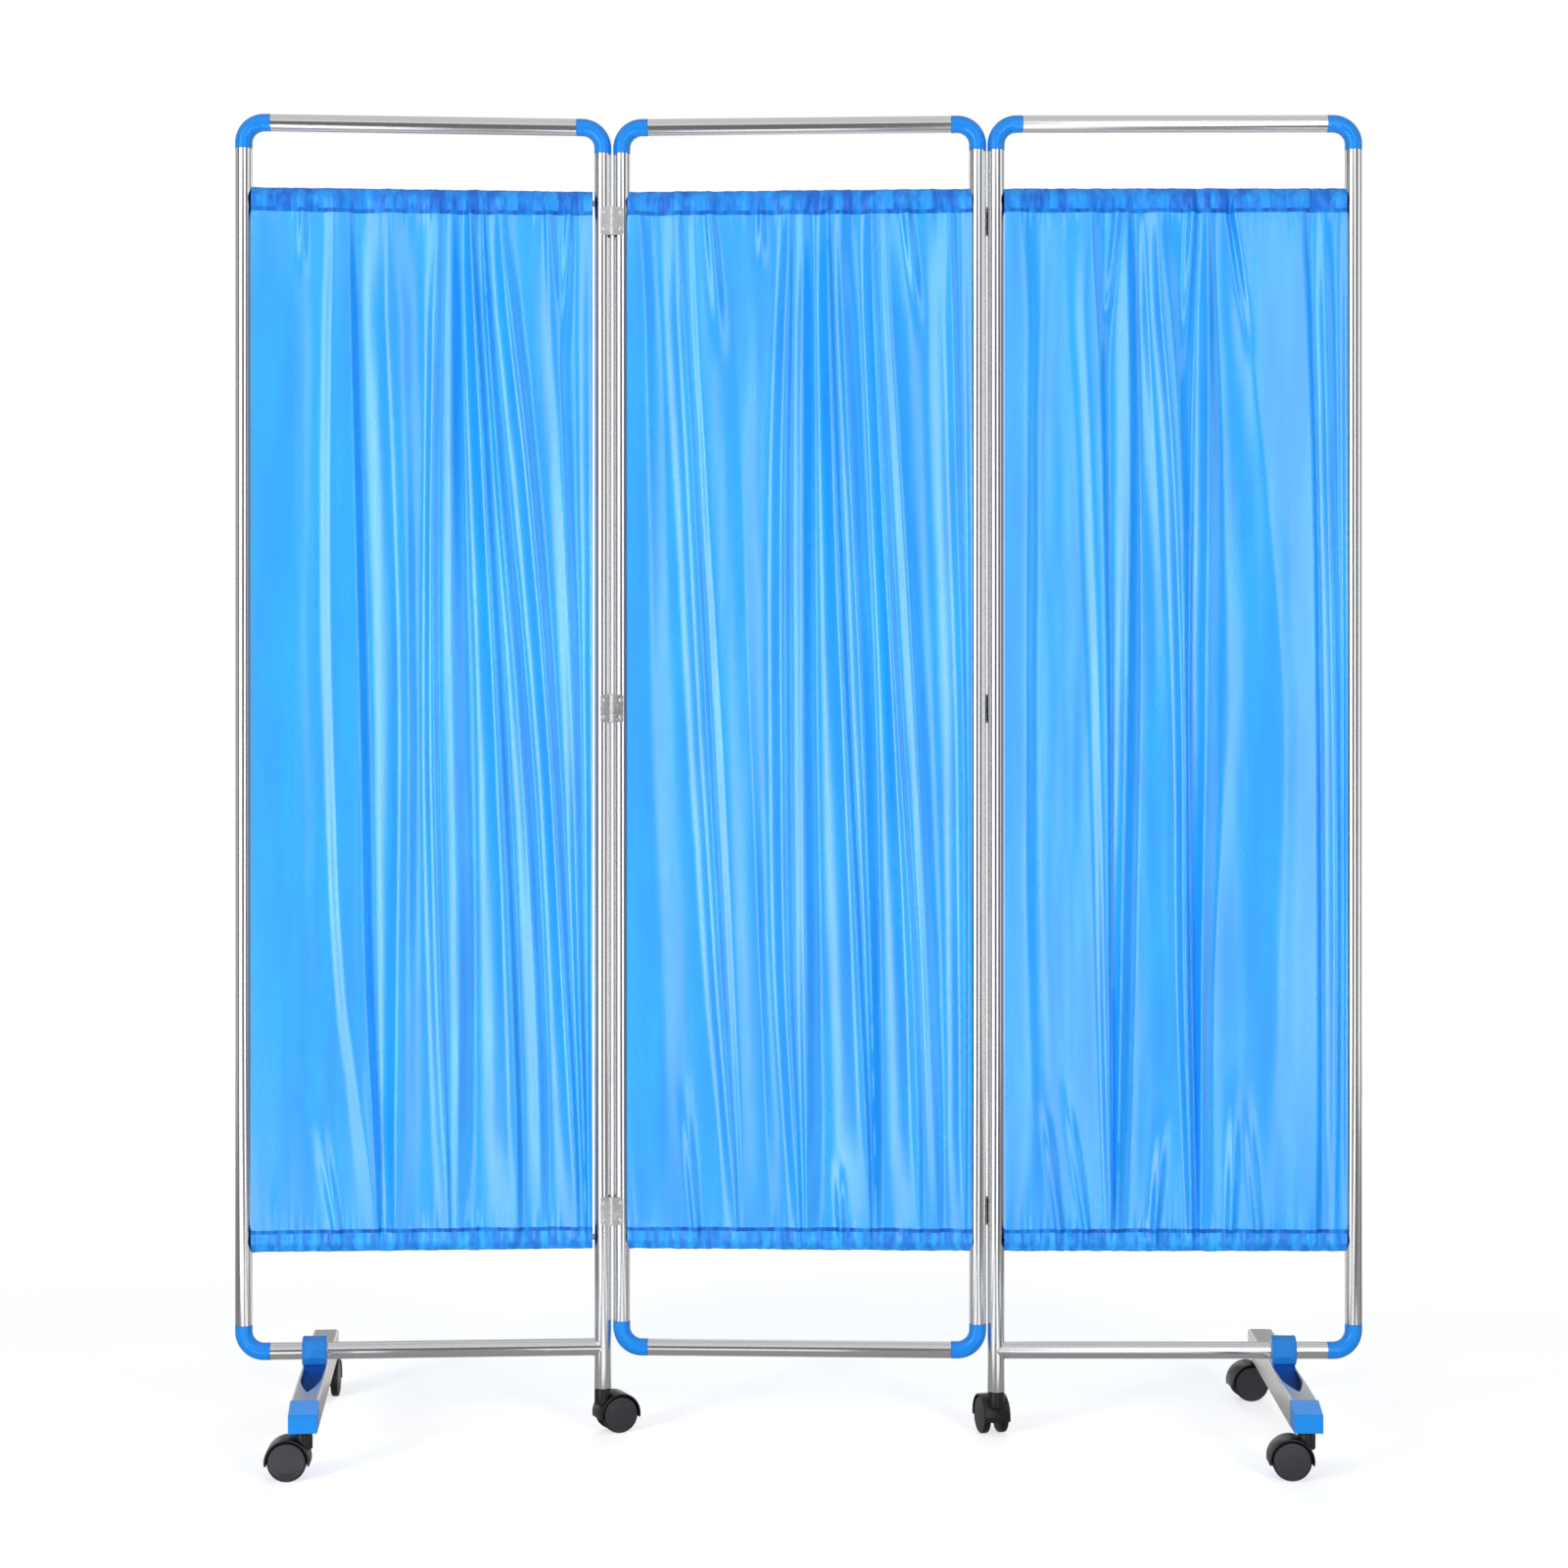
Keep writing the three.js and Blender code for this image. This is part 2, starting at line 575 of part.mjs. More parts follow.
// The cap at a foot's front end, with the socket for a castor's stem.
function footCap() {
  const rear = -FOOT_HALF_LENGTH + CAP_LENGTH;
  const front = -FOOT_HALF_LENGTH;
  const half = CHANNEL_WIDTH / 2;
  const low = carriedHeight + CAP_CHIN;
  const side = [
    [rear, low],
    [rear, channelTop],
    [front, channelTop - CAP_NOSE_DROP],
    [front, low],
  ];
  const shell = drawnAlongX(side, -half, half);
  const inner = half - CHANNEL_WALL - CLEARANCE;
  const spigotTop = channelTop - CHANNEL_WALL - CLEARANCE;
  const spigot = block(-inner, inner, rear - ROOT, rear + CAP_SPIGOT, low, spigotTop);
  const stemHole = bar("z", stemHoleRadius, low - OVERRUN, carriedHeight + SOCKET_LENGTH, STEM_SIDES);
  stemHole.translate(0, front + CASTOR_INSET, 0);
  return cut(join(shell, spigot), stemHole);
}

// The block inside the channel's rear end, flush with it, with the socket for the rear castor's stem.
function footPlug() {
  const inner = CHANNEL_WIDTH / 2 - CHANNEL_WALL - CLEARANCE;
  const low = carriedHeight + CAP_CHIN;
  const high = channelTop - CHANNEL_WALL - CLEARANCE;
  const plug = block(-inner, inner, FOOT_HALF_LENGTH - PLUG_LENGTH, FOOT_HALF_LENGTH, low, high);
  const stemHole = bar("z", stemHoleRadius, low - OVERRUN, carriedHeight + SOCKET_LENGTH, STEM_SIDES);
  return cut(plug, stemHole.translate(0, FOOT_HALF_LENGTH - CASTOR_INSET, 0));
}

function railClamp() {
  const ring = bar("x", clampRadius, -CLAMP_WIDTH / 2, CLAMP_WIDTH / 2, CLAMP_SIDES);
  ring.translate(0, 0, bottomRailHeight);
  const half = CHANNEL_WIDTH / 2 - SLOT_EDGE - CLEARANCE;
  const low = channelTop - SADDLE_DEPTH;
  const saddle = block(-half, half, -SADDLE_FRONT, SADDLE_REAR, low, bottomRailHeight);
  const tongueSide = [
    [-SADDLE_FRONT + ROOT, low],
    [-SADDLE_FRONT + ROOT, channelTop],
    [-SADDLE_FRONT, channelTop],
    [-TONGUE_REACH, channelTop - TONGUE_TIP_DEPTH],
    [-TONGUE_REACH, low],
  ];
  const tipHalf = TONGUE_TIP_WIDTH / 2;
  const tonguePlan = [
    [-half, 0],
    [-half, -SADDLE_FRONT],
    [-tipHalf, -TONGUE_REACH],
    [tipHalf, -TONGUE_REACH],
    [half, -SADDLE_FRONT],
    [half, 0],
  ];
  const wedge = drawnAlongX(tongueSide, -half, half);
  const plan = drawnAlongZ(tonguePlan, low - OVERRUN, channelTop + OVERRUN);
  const bore = bar("x", clampBore, -CLAMP_WIDTH / 2 - OVERRUN, CLAMP_WIDTH / 2 + OVERRUN, TUBE_SIDES);
  bore.translate(0, 0, bottomRailHeight);
  return cut(join(ring, saddle, overlap(wedge, plan)), bore);
}

// Assembly

function piece(name, geometry, material, x = 0, y = 0, z = 0) {
  geometry.computeVertexNormals();
  const mesh = new THREE.Mesh(geometry, material);
  mesh.name = name;
  mesh.position.set(x, y, z);
  return mesh;
}

function turned(group, degrees) {
  group.rotation.z = THREE.MathUtils.degToRad(degrees);
  return group;
}

function castor(name, x, y) {
  const group = turned(new THREE.Group(), CASTOR_TRAILS[name]);
  group.position.set(x, y, 0);
  group.add(piece(`${name}_castor_hood`, castorHood(), blackPlastic));
  group.add(piece(`${name}_castor_wheels`, castorWheels(), wheelPlastic));
  return group;
}

// The top rod and the curtain of one panel, centred on x.
function curtainSet(name, folds, x) {
  return [
    piece(`${name}_top_rod`, curtainRod(), steel, x, 0, topRodHeight),
    piece(`${name}_curtain`, curtain(folds), blueCloth, x),
  ];
}

// The middle panel's hinge leaves at one of its two joints.
function fixedLeaves(side, toX, toY) {
  const x = -toX * (halfSpacing + pinToPost);
  return Object.entries(hingeHeights).map(([level, z]) =>
    piece(`${side}_${level}_hinge_pin_leaf`, leafWithPin(toX, toY), steel, x, -toY * pinToPlane, z),
  );
}

function middlePanel() {
  const panel = new THREE.Group();
  for (const [side, out] of [["left", -1], ["right", 1]]) {
    const x = out * halfSpacing;
    panel.add(piece(`middle_${side}_post`, cornerPost(-out), chrome, x));
    panel.add(piece(`middle_top_${side}_elbow`, elbow(-out, -1), bluePlastic, x, 0, topRailHeight));
    panel.add(piece(`middle_bottom_${side}_elbow`, elbow(-out, 1), bluePlastic, x, 0, bottomRailHeight));
  }
  panel.add(piece("middle_top_rail", elbowedRail(), chrome, 0, 0, topRailHeight));
  panel.add(piece("middle_bottom_rail", elbowedRail(), chrome, 0, 0, bottomRailHeight));
  panel.add(...curtainSet("middle", MIDDLE_FOLD_SHARES, 0));
  panel.add(...fixedLeaves("left", 1, 1), ...fixedLeaves("right", -1, -1));
  return panel;
}

function foot(side, out, x) {
  const group = turned(new THREE.Group(), -out * FOOT_TOE);
  group.position.set(x, 0, 0);
  const castorY = FOOT_HALF_LENGTH - CASTOR_INSET;
  group.add(piece(`${side}_foot_channel`, footChannel(), steel));
  group.add(piece(`${side}_front_foot_cap`, footCap(), bluePlastic));
  group.add(piece(`${side}_rear_foot_plug`, footPlug(), blackPlastic));
  group.add(piece(`${side}_rail_clamp`, railClamp(), bluePlastic));
  group.add(castor(`${side}_front`, 0, -castorY));
  group.add(castor(`${side}_rear`, 0, castorY));
  return group;
}

// A wing, round its hinge pin at the origin. Its panel lies towards out along X and toPlane along Y.
function wing(side, out, toPlane, folds) {
  const pivot = new THREE.Group();
  for (const [level, z] of Object.entries(hingeHeights)) {
    pivot.add(piece(`${side}_${level}_hinge_bored_leaf`, leafWithBore(out, toPlane), steel, 0, 0, z));
  }
  const panel = new THREE.Group();
  panel.position.y = toPlane * pinToPlane;
  pivot.add(panel);
  const innerX = out * pinToPost;
  const outerX = innerX + out * POST_SPACING;
  const midX = (innerX + outerX) / 2;
  panel.add(piece(`${side}_inner_post`, castorPost(out), chrome, innerX));
  panel.add(piece(`${side}_bottom_rail`, copedRail(out), chrome, innerX, 0, bottomRailHeight));
  panel.add(piece(`${side}_outer_post`, cornerPost(-out), chrome, outerX));
  panel.add(piece(`${side}_top_rail`, elbowedRail(), chrome, midX, 0, topRailHeight));
  panel.add(piece(`${side}_top_inner_elbow`, elbow(out, -1), bluePlastic, innerX, 0, topRailHeight));
  panel.add(piece(`${side}_top_outer_elbow`, elbow(-out, -1), bluePlastic, outerX, 0, topRailHeight));
  panel.add(piece(`${side}_bottom_outer_elbow`, elbow(-out, 1), bluePlastic, outerX, 0, bottomRailHeight));
  panel.add(...curtainSet(side, folds, midX));
  panel.add(foot(side, out, outerX - out * FOOT_INSET));
  panel.add(castor(`${side}_inner`, innerX, 0));
  return pivot;
}

function screen() {
  const standing = new THREE.Group();
  standing.add(middlePanel());
  const pinX = halfSpacing + pinToPost;
  const left = turned(wing("left", -1, 1, LEFT_FOLD_SHARES), LEFT_FOLD);
  left.position.set(-pinX, -pinToPlane, 0);
  const right = turned(wing("right", 1, -1, RIGHT_FOLD_SHARES), RIGHT_FOLD);
  right.position.set(pinX, pinToPlane, 0);
  standing.add(left, right);
  const box = new THREE.Box3().setFromObject(standing, true);
  const middle = box.getCenter(new THREE.Vector3());
  standing.position.set(-middle.x, -middle.y, -box.min.z);
  const group = new THREE.Group();
  group.add(standing);
  return group;
}

export default screen();
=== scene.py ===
"""A folding ward screen: chromed tube panels with moulded elbows, gathered curtains, feet and castors."""

import json
import logging
import math
from collections.abc import Callable
from dataclasses import dataclass, field
from enum import Enum
from functools import lru_cache

import bmesh
import bpy
from mathutils import Matrix, Vector, noise


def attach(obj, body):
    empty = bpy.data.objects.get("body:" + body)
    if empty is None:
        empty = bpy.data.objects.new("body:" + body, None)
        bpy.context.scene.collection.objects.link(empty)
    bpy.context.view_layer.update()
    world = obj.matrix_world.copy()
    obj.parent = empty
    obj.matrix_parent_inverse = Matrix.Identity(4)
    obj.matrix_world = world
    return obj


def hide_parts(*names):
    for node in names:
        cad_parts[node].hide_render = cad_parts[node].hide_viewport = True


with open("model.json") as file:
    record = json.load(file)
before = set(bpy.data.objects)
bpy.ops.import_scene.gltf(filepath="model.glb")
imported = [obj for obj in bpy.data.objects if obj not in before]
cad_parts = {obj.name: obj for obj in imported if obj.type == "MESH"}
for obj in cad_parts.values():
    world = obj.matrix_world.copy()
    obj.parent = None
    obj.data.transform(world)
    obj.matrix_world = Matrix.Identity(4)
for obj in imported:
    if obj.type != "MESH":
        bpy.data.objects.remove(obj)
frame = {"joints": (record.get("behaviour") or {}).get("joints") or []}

log = logging.getLogger("ward_screen")
MM = 0.001  # metres in a millimetre
ONE_SPOT = 0.002  # millimetres within which two corners become one
RELIEF = 0.0002  # metres by which a bump's full strength raises a skin
SMOOTHER, ROUGHER = 0.05, 0.08  # how far a surface's roughness drifts either way
Pair = tuple[float, float]
Point = tuple[float, float, float]


class Side(Enum):
    """The two wings, each with its direction along X."""

    LEFT = -1
    RIGHT = 1

    @property
    def word(self) -> str:
        """The side's name as the nodes have it."""
        return self.name.lower()


# ---- frame of each piece


@dataclass(frozen=True)
class Place:
    """A spot on the floor plan in millimetres, with a turn about the upright in radians."""

    x: float
    y: float
    turn: float = 0.0

    def step(self, x: float, y: float, turn: float = 0.0) -> "Place":
        """The place reached by a step in millimetres and a turn, both in this one's own directions."""
        c, s = math.cos(self.turn), math.sin(self.turn)
        return Place(self.x + c * x - s * y, self.y + s * x + c * y, self.turn + turn)

    def matrix(self) -> Matrix:
        """The place as a matrix in metres."""
        spot = Matrix.Translation((self.x * MM, self.y * MM, 0.0))
        return spot @ Matrix.Rotation(self.turn, 4, "Z")


class Form:
    """The surface of one piece, gathered up in millimetres of its own frame."""

    def __init__(self) -> None:
        """Starts with nothing in it."""
        self.corners: list[Point] = []
        self.faces: list[tuple[int, ...]] = []
        self.skins: list[int] = []
        self.skin = 0

    def face(self, *corners: int) -> None:
        """Adds a face in the finish now in use."""
        self.faces.append(corners)
        self.skins.append(self.skin)

    def loft(self, rings: list[list[Point]], closed: bool = True, capped: bool = True) -> "Form":
        """Joins rings of equal count into a skin.

        Args:
            rings: Rings of points, in order.
            closed: Whether each ring closes on itself.
            capped: Whether the first and last ring get a face of their own.

        Returns:
            This form.
        """
        start, count = len(self.corners), len(rings[0])
        for ring in rings:
            self.corners.extend(ring)
        for row in range(len(rings) - 1):
            for i in range(count if closed else count - 1):
                a = start + row * count + i
                b = start + row * count + (i + 1) % count
                self.face(a, b, b + count, a + count)
        if capped:
            last = start + (len(rings) - 1) * count
            self.face(*range(start + count - 1, start - 1, -1))
            self.face(*range(last, last + count))
        return self

    def turned(self, profile: list[Pair], axis: str, at: Point = (0, 0, 0), sides: int = 48) -> "Form":
        """Turns a profile of (radius, height) about an axis.

        Args:
            profile: Radii and heights, in order.
            axis: "x", "y" or "z".
            at: A point on the axis, from which the heights are counted.
            sides: Count of flats.

        Returns:
            This form.
        """
        rings = []
        for radius, height in profile:
            ring = []
            for i in range(sides):
                angle = 2 * math.pi * i / sides
                a, b = radius * math.cos(angle), radius * math.sin(angle)
                local = {"x": (height, a, b), "y": (b, height, a), "z": (a, b, height)}[axis]
                ring.append(tuple(p + q for p, q in zip(local, at)))
            rings.append(ring)
        return self.loft(rings)

    def slab(self, outline: list[Pair], low: float, high: float, axis: str) -> "Form":
        """Draws an outline, of corners (y, z), (x, z) or (x, y), from low to high along the third axis."""
        return self.loft([[{"x": (level, a, b), "y": (a, level, b), "z": (a, b, level)}[axis]
                           for a, b in outline] for level in (low, high)])

    def box(self, x: Pair, y: Pair, z: Pair) -> "Form":
        """A block between two x, two y and two heights."""
        return self.slab([(x[0], y[0]), (x[1], y[0]), (x[1], y[1]), (x[0], y[1])], *z, "z")

    def swept(self, path: list[Pair], radii: list[float], sides: int = 40) -> "Form":
        """A round section carried along a path in the XZ plane.

        Args:
            path: Points (x, z) of the centre line.
            radii: The section's radius at each point.
            sides: Count of flats.

        Returns:
            This form.
        """
        rings = []
        for i, (x, z) in enumerate(path):
            before, after = path[max(i - 1, 0)], path[min(i + 1, len(path) - 1)]
            run = Vector((after[0] - before[0], 0, after[1] - before[1])).normalized()
            side = Vector((-run.z, 0, run.x))
            ring = []
            for k in range(sides):
                angle = 2 * math.pi * k / sides
                out = side * (radii[i] * math.cos(angle))
                ring.append((x + out.x, radii[i] * math.sin(angle), z + out.z))
            rings.append(ring)
        return self.loft(rings)

    def mesh(self, name: str) -> bpy.types.Mesh:
        """Makes a mesh of the form, in metres and with its faces turned out.

        Args:
            name: The mesh's name.

        Returns:
            The mesh.
        """
        mesh = bpy.data.meshes.new(name)
        mesh.from_pydata([[c * MM for c in p] for p in self.corners], [], self.faces)
        mesh.polygons.foreach_set("material_index", self.skins)
        work = bmesh.new()
        work.from_mesh(mesh)
        bmesh.ops.remove_doubles(work, verts=work.verts, dist=ONE_SPOT * MM)
        bmesh.ops.recalc_face_normals(work, faces=work.faces)
        work.to_mesh(mesh)
        work.free()
        return mesh


@dataclass(frozen=True)
class Mark:
    """What a piece is called, what it moves with, and which CAD nodes it stands for."""

    name: str
    body: str
    slot: str
    nodes: tuple[str, ...] = ()


def stand(name: str, data: bpy.types.ID) -> bpy.types.Object:
    """Puts a new object into the scene.

    Args:
        name: Its name.
        data: The mesh, lamp or camera that it holds.

    Returns:
        The object.
    """
    made = bpy.data.objects.new(name, data)
    bpy.context.scene.collection.objects.link(made)
    return made


def ease_edges(piece: bpy.types.Object, width: float, angle: float, segments: int = 3) -> None:
    """Rounds a piece's hard edges.

    Args:
        piece: The piece.
        width: Width of the rounding in millimetres.
        angle: Angle in degrees above which an edge is hard.
        segments: Count of flats across the rounding.
    """
    ease = piece.modifiers.new("eased edges", "BEVEL")
    ease.width, ease.segments = width * MM, segments
    ease.limit_method, ease.angle_limit = "ANGLE", math.radians(angle)
    ease.harden_normals = True


def set_down(form: Form, mark: Mark, place: Place, finishes: list["Finish"], bevel: float = 0.0,
             crease: float = 35.0) -> bpy.types.Object:
    """Turns a form into a piece of the screen.

    Args:
        form: The piece's surface.
        mark: Its name, body and nodes. Its slot is not used.
        place: Where its own frame stands.
        finishes: Its finishes, in the order of the form's skins.
        bevel: Width in millimetres to which its hard edges are eased.
        crease: Angle in degrees above which an edge shows.

    Returns:
        The new object.
    """
    mesh = form.mesh(mark.name)
    for finish in finishes:
        mesh.materials.append(finish.material())
    mesh.shade_smooth()
    mesh.set_sharp_from_angle(angle=math.radians(crease))
    piece = stand(mark.name, mesh)
    piece.matrix_world = place.matrix()
    if bevel:
        ease_edges(piece, bevel, crease)
    bpy.context.view_layer.update()
    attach(piece, mark.body)
    if mark.nodes:
        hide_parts(*mark.nodes)
    log.info("%s rides on %s", mark.name, mark.body)
    return piece


# ---- finishes


def linear(code: str) -> tuple[float, float, float, float]:
    """The linear colour of an sRGB hex code."""
    parts = [int(code[i:i + 2], 16) / 255 for i in (1, 3, 5)]
    return (*[c / 12.92 if c <= 0.04045 else ((c + 0.055) / 1.055) ** 2.4 for c in parts], 1.0)


def add_node(tree: bpy.types.NodeTree, kind: str, settings: dict | None = None,
             links: dict | None = None) -> bpy.types.Node:
    """Adds a node with its settings and links.

    Args:
        tree: The node tree.
        kind: The node's type name.
        settings: Values by input name or number, or by the node's own property.
        links: Output sockets by input name or number.

    Returns:
        The new node.
    """
    node = tree.nodes.new(kind)
    for key, value in (settings or {}).items():
        if isinstance(key, int) or key in node.inputs:
            node.inputs[key].default_value = value
        else:
            setattr(node, key, value)
    for key, source in (links or {}).items():
        tree.links.new(source, node.inputs[key])
    return node


def bare_tree(owner: bpy.types.Material | bpy.types.World) -> bpy.types.NodeTree:
    """Switches nodes on and clears them.

    Args:
        owner: A material or the world.

    Returns:
        Its empty node tree.
    """
    owner.use_nodes = True
    owner.node_tree.nodes.clear()
    return owner.node_tree


def bands(pitch_mm: float) -> float:
    """The scale at which a wave texture repeats every pitch_mm of a metre-scaled object."""
    return math.pi / 10 / (pitch_mm * MM)


def grain(size_mm: float) -> float:
    """The scale at which a noise texture's patches are size_mm across on a metre-scaled object."""
    return 1 / (size_mm * MM)


class Finish:
    """A finish of the real screen, made once and used by every piece that has it."""

    label = "finish"

    @lru_cache(maxsize=None)
    def material(self) -> bpy.types.Material:
        """Makes the finish's material.

        Returns:
            The material, the same one each time.
        """
        made = bpy.data.materials.new(self.label)
        tree = bare_tree(made)
        spot = add_node(tree, "ShaderNodeTexCoord").outputs["Object"]
        shader = self.shade(tree, spot)
        add_node(tree, "ShaderNodeOutputMaterial", links={"Surface": shader.outputs[0]})
        return made

    def shade(self, tree: bpy.types.NodeTree, spot: bpy.types.NodeSocket) -> bpy.types.Node:
        """Builds the surface shader. Each finish has its own."""
        raise NotImplementedError


@dataclass(frozen=True)
class ChromedSteel(Finish):
    """Drawn steel tube, polished and chrome plated: a mirror with faint polishing lines along it."""

    label: str = "chromed steel tube"
    colour: str = "#E8EAEC"
    dull: str = "#DCDEE1"
    roughness: float = 0.14
    haze: float = 0.18
    line_mm: float = 1.6  # polishing lines are finer than this, and are drawn as coarse as they show
    stretch: float = 0.006  # of the lines along the tube

    def shade(self, tree: bpy.types.NodeTree, spot: bpy.types.NodeSocket) -> bpy.types.Node:
        """Mirror metal whose haze runs in long streaks.

        Args:
            tree: The material's node tree.
            spot: The place on the surface, in metres.

        Returns:
            The surface shader.
        """
        long = add_node(tree, "ShaderNodeMapping", {"Scale": (1, 1, self.stretch)}, {"Vector": spot})
        streak = add_node(tree, "ShaderNodeTexNoise", {"Scale": grain(self.line_mm), "Detail": 3.0},
                          {"Vector": long.outputs[0]})
        haze = add_node(tree, "ShaderNodeMapRange",
                        {"From Min": 0.35, "From Max": 0.75, "To Min": self.roughness, "To Max": self.haze},
                        {"Value": streak.outputs["Fac"]})
        tone = add_node(tree, "ShaderNodeMix",
                        {"data_type": "RGBA", 6: linear(self.colour), 7: linear(self.dull)},
                        {0: streak.outputs["Fac"]})
        return add_node(tree, "ShaderNodeBsdfPrincipled", {"Metallic": 1.0},
                        {"Base Color": tone.outputs[2], "Roughness": haze.outputs[0]})


@dataclass(frozen=True)
class PlatedSheet(Finish):
    """Pressed sheet steel, bright plated: flatter and hazier than the tube, with fine scuffs."""

    label: str = "bright plated sheet steel"
    colour: str = "#EEEFF0"
    scuffed: str = "#D8DADD"
    roughness: float = 0.3
    worn: float = 0.44
    scuff_mm: float = 9.0  # width of a patch of scuffs

    def shade(self, tree: bpy.types.NodeTree, spot: bpy.types.NodeSocket) -> bpy.types.Node:
        """Bright metal with patches of handling marks.

        Args:
            tree: The material's node tree.
            spot: The place on the surface, in metres.

        Returns:
            The surface shader.
        """
        patch = add_node(tree, "ShaderNodeTexNoise", {"Scale": grain(self.scuff_mm), "Detail": 6.0,
                                                      "Roughness": 0.65}, {"Vector": spot})
        wear = add_node(tree, "ShaderNodeMapRange",
                        {"From Min": 0.5, "From Max": 0.78, "To Min": self.roughness, "To Max": self.worn},
                        {"Value": patch.outputs["Fac"]})
        tone = add_node(tree, "ShaderNodeMix",
                        {"data_type": "RGBA", 6: linear(self.colour), 7: linear(self.scuffed)},
                        {0: patch.outputs["Fac"]})
        bump = add_node(tree, "ShaderNodeBump", {"Strength": 0.05, "Distance": RELIEF},
                        {"Height": patch.outputs["Fac"]})
        return add_node(tree, "ShaderNodeBsdfPrincipled", {"Metallic": 1.0},
                        {"Base Color": tone.outputs[2], "Roughness": wear.outputs[0],
                         "Normal": bump.outputs[0]})


@dataclass(frozen=True)
class MouldedPlastic(Finish):
    """Injection-moulded plastic: an even colour, a soft gloss and a faint orange-peel skin."""

    label: str = "moulded polypropylene"
    colour: str = "#1E8CF0"
    deep: str = "#1B7FE0"
    roughness: float = 0.32
    peel_mm: float = 2.4  # width of the skin's small dimples
    peel: float = 0.08  # their strength
    ior: float = 1.49
    gleam: str = "#FFFFFF"  # cast of its gloss
    gloss: float = 0.5
    flow_mm: float = 18.0  # width of the patches in which its tone drifts

    def shade(self, tree: bpy.types.NodeTree, spot: bpy.types.NodeSocket) -> bpy.types.Node:
        """Coloured plastic with a skin that is never quite even.

        Args:
            tree: The material's node tree.
            spot: The place on the surface, in metres.

        Returns:
            The surface shader.
        """
        peel = add_node(tree, "ShaderNodeTexNoise", {"Scale": grain(self.peel_mm), "Detail": 2.0},
                        {"Vector": spot})
        flow = add_node(tree, "ShaderNodeTexNoise", {"Scale": grain(self.flow_mm), "Detail": 3.0},
                        {"Vector": spot})
        tone = add_node(tree, "ShaderNodeMix",
                        {"data_type": "RGBA", 6: linear(self.colour), 7: linear(self.deep)},
                        {0: flow.outputs["Fac"]})
        gloss = add_node(tree, "ShaderNodeMapRange",
                         {"To Min": self.roughness - SMOOTHER, "To Max": self.roughness + ROUGHER},
                         {"Value": flow.outputs["Fac"]})
        bump = add_node(tree, "ShaderNodeBump", {"Strength": self.peel, "Distance": RELIEF},
                        {"Height": peel.outputs["Fac"]})
        return add_node(tree, "ShaderNodeBsdfPrincipled",
                        {"IOR": self.ior, "Specular Tint": linear(self.gleam),
                         "Specular IOR Level": self.gloss},
                        {"Base Color": tone.outputs[2], "Roughness": gloss.outputs[0],
                         "Normal": bump.outputs[0]})


@dataclass(frozen=True)
class PolyesterCloth(Finish):
    """Thin woven polyester with a silky face: a tight plain weave and a soft sheen along the folds."""

    label: str = "polyester lining cloth"
    colour: str = "#14A2F7"
    deep: str = "#0895EE"
    gloss: float = 0.95
    roughness: float = 0.27
    sheen: float = 0.05
    satin: float = 0.5  # the calendered face, which shines along the folds
    patch_mm: float = 30.0  # width of the streaks in which its tone drifts
    thread_mm: float = 1.1  # the threads lie 0.25 mm apart, too fine to show, and are drawn this coarse
    stretch: float = 0.12  # of the streaks down the cloth

    def shade(self, tree: bpy.types.NodeTree, spot: bpy.types.NodeSocket) -> bpy.types.Node:
        """Cloth whose warp and weft both raise its skin a little.

        Args:
            tree: The material's node tree.
            spot: The place on the surface, in metres.

        Returns:
            The surface shader.
        """
        warp, weft = (add_node(tree, "ShaderNodeTexWave",
                               {"bands_direction": way, "Scale": bands(self.thread_mm),
                                "Distortion": 1.2, "Detail": 2.0}, {"Vector": spot}) for way in "XZ")
        weave = add_node(tree, "ShaderNodeMath", {"operation": "MULTIPLY"},
                         {0: warp.outputs["Fac"], 1: weft.outputs["Fac"]})
        long = add_node(tree, "ShaderNodeMapping", {"Scale": (1, 1, self.stretch)}, {"Vector": spot})
        patch = add_node(tree, "ShaderNodeTexNoise", {"Scale": grain(self.patch_mm), "Detail": 3.0},
                         {"Vector": long.outputs[0]})
        drift = add_node(tree, "ShaderNodeMapRange", {"From Min": 0.36, "From Max": 0.64},
                         {"Value": patch.outputs["Fac"]})
        tone = add_node(tree, "ShaderNodeMix",
                        {"data_type": "RGBA", 6: linear(self.colour), 7: linear(self.deep)},
                        {0: drift.outputs[0]})
        bump = add_node(tree, "ShaderNodeBump", {"Strength": 0.12, "Distance": RELIEF},
                        {"Height": weave.outputs[0]})
        haze = add_node(tree, "ShaderNodeMapRange",
                        {"To Min": self.roughness - SMOOTHER, "To Max": self.roughness + ROUGHER},
                        {"Value": patch.outputs["Fac"]})
        return add_node(tree, "ShaderNodeBsdfPrincipled",
                        {"Sheen Weight": self.sheen, "Sheen Roughness": 0.4, "IOR": 1.5,
                         "Specular IOR Level": self.gloss, "Coat Weight": self.satin, "Coat IOR": 1.7,
                         "Coat Roughness": 0.24},
                        {"Base Color": tone.outputs[2], "Roughness": haze.outputs[0],
                         "Normal": bump.outputs[0]})


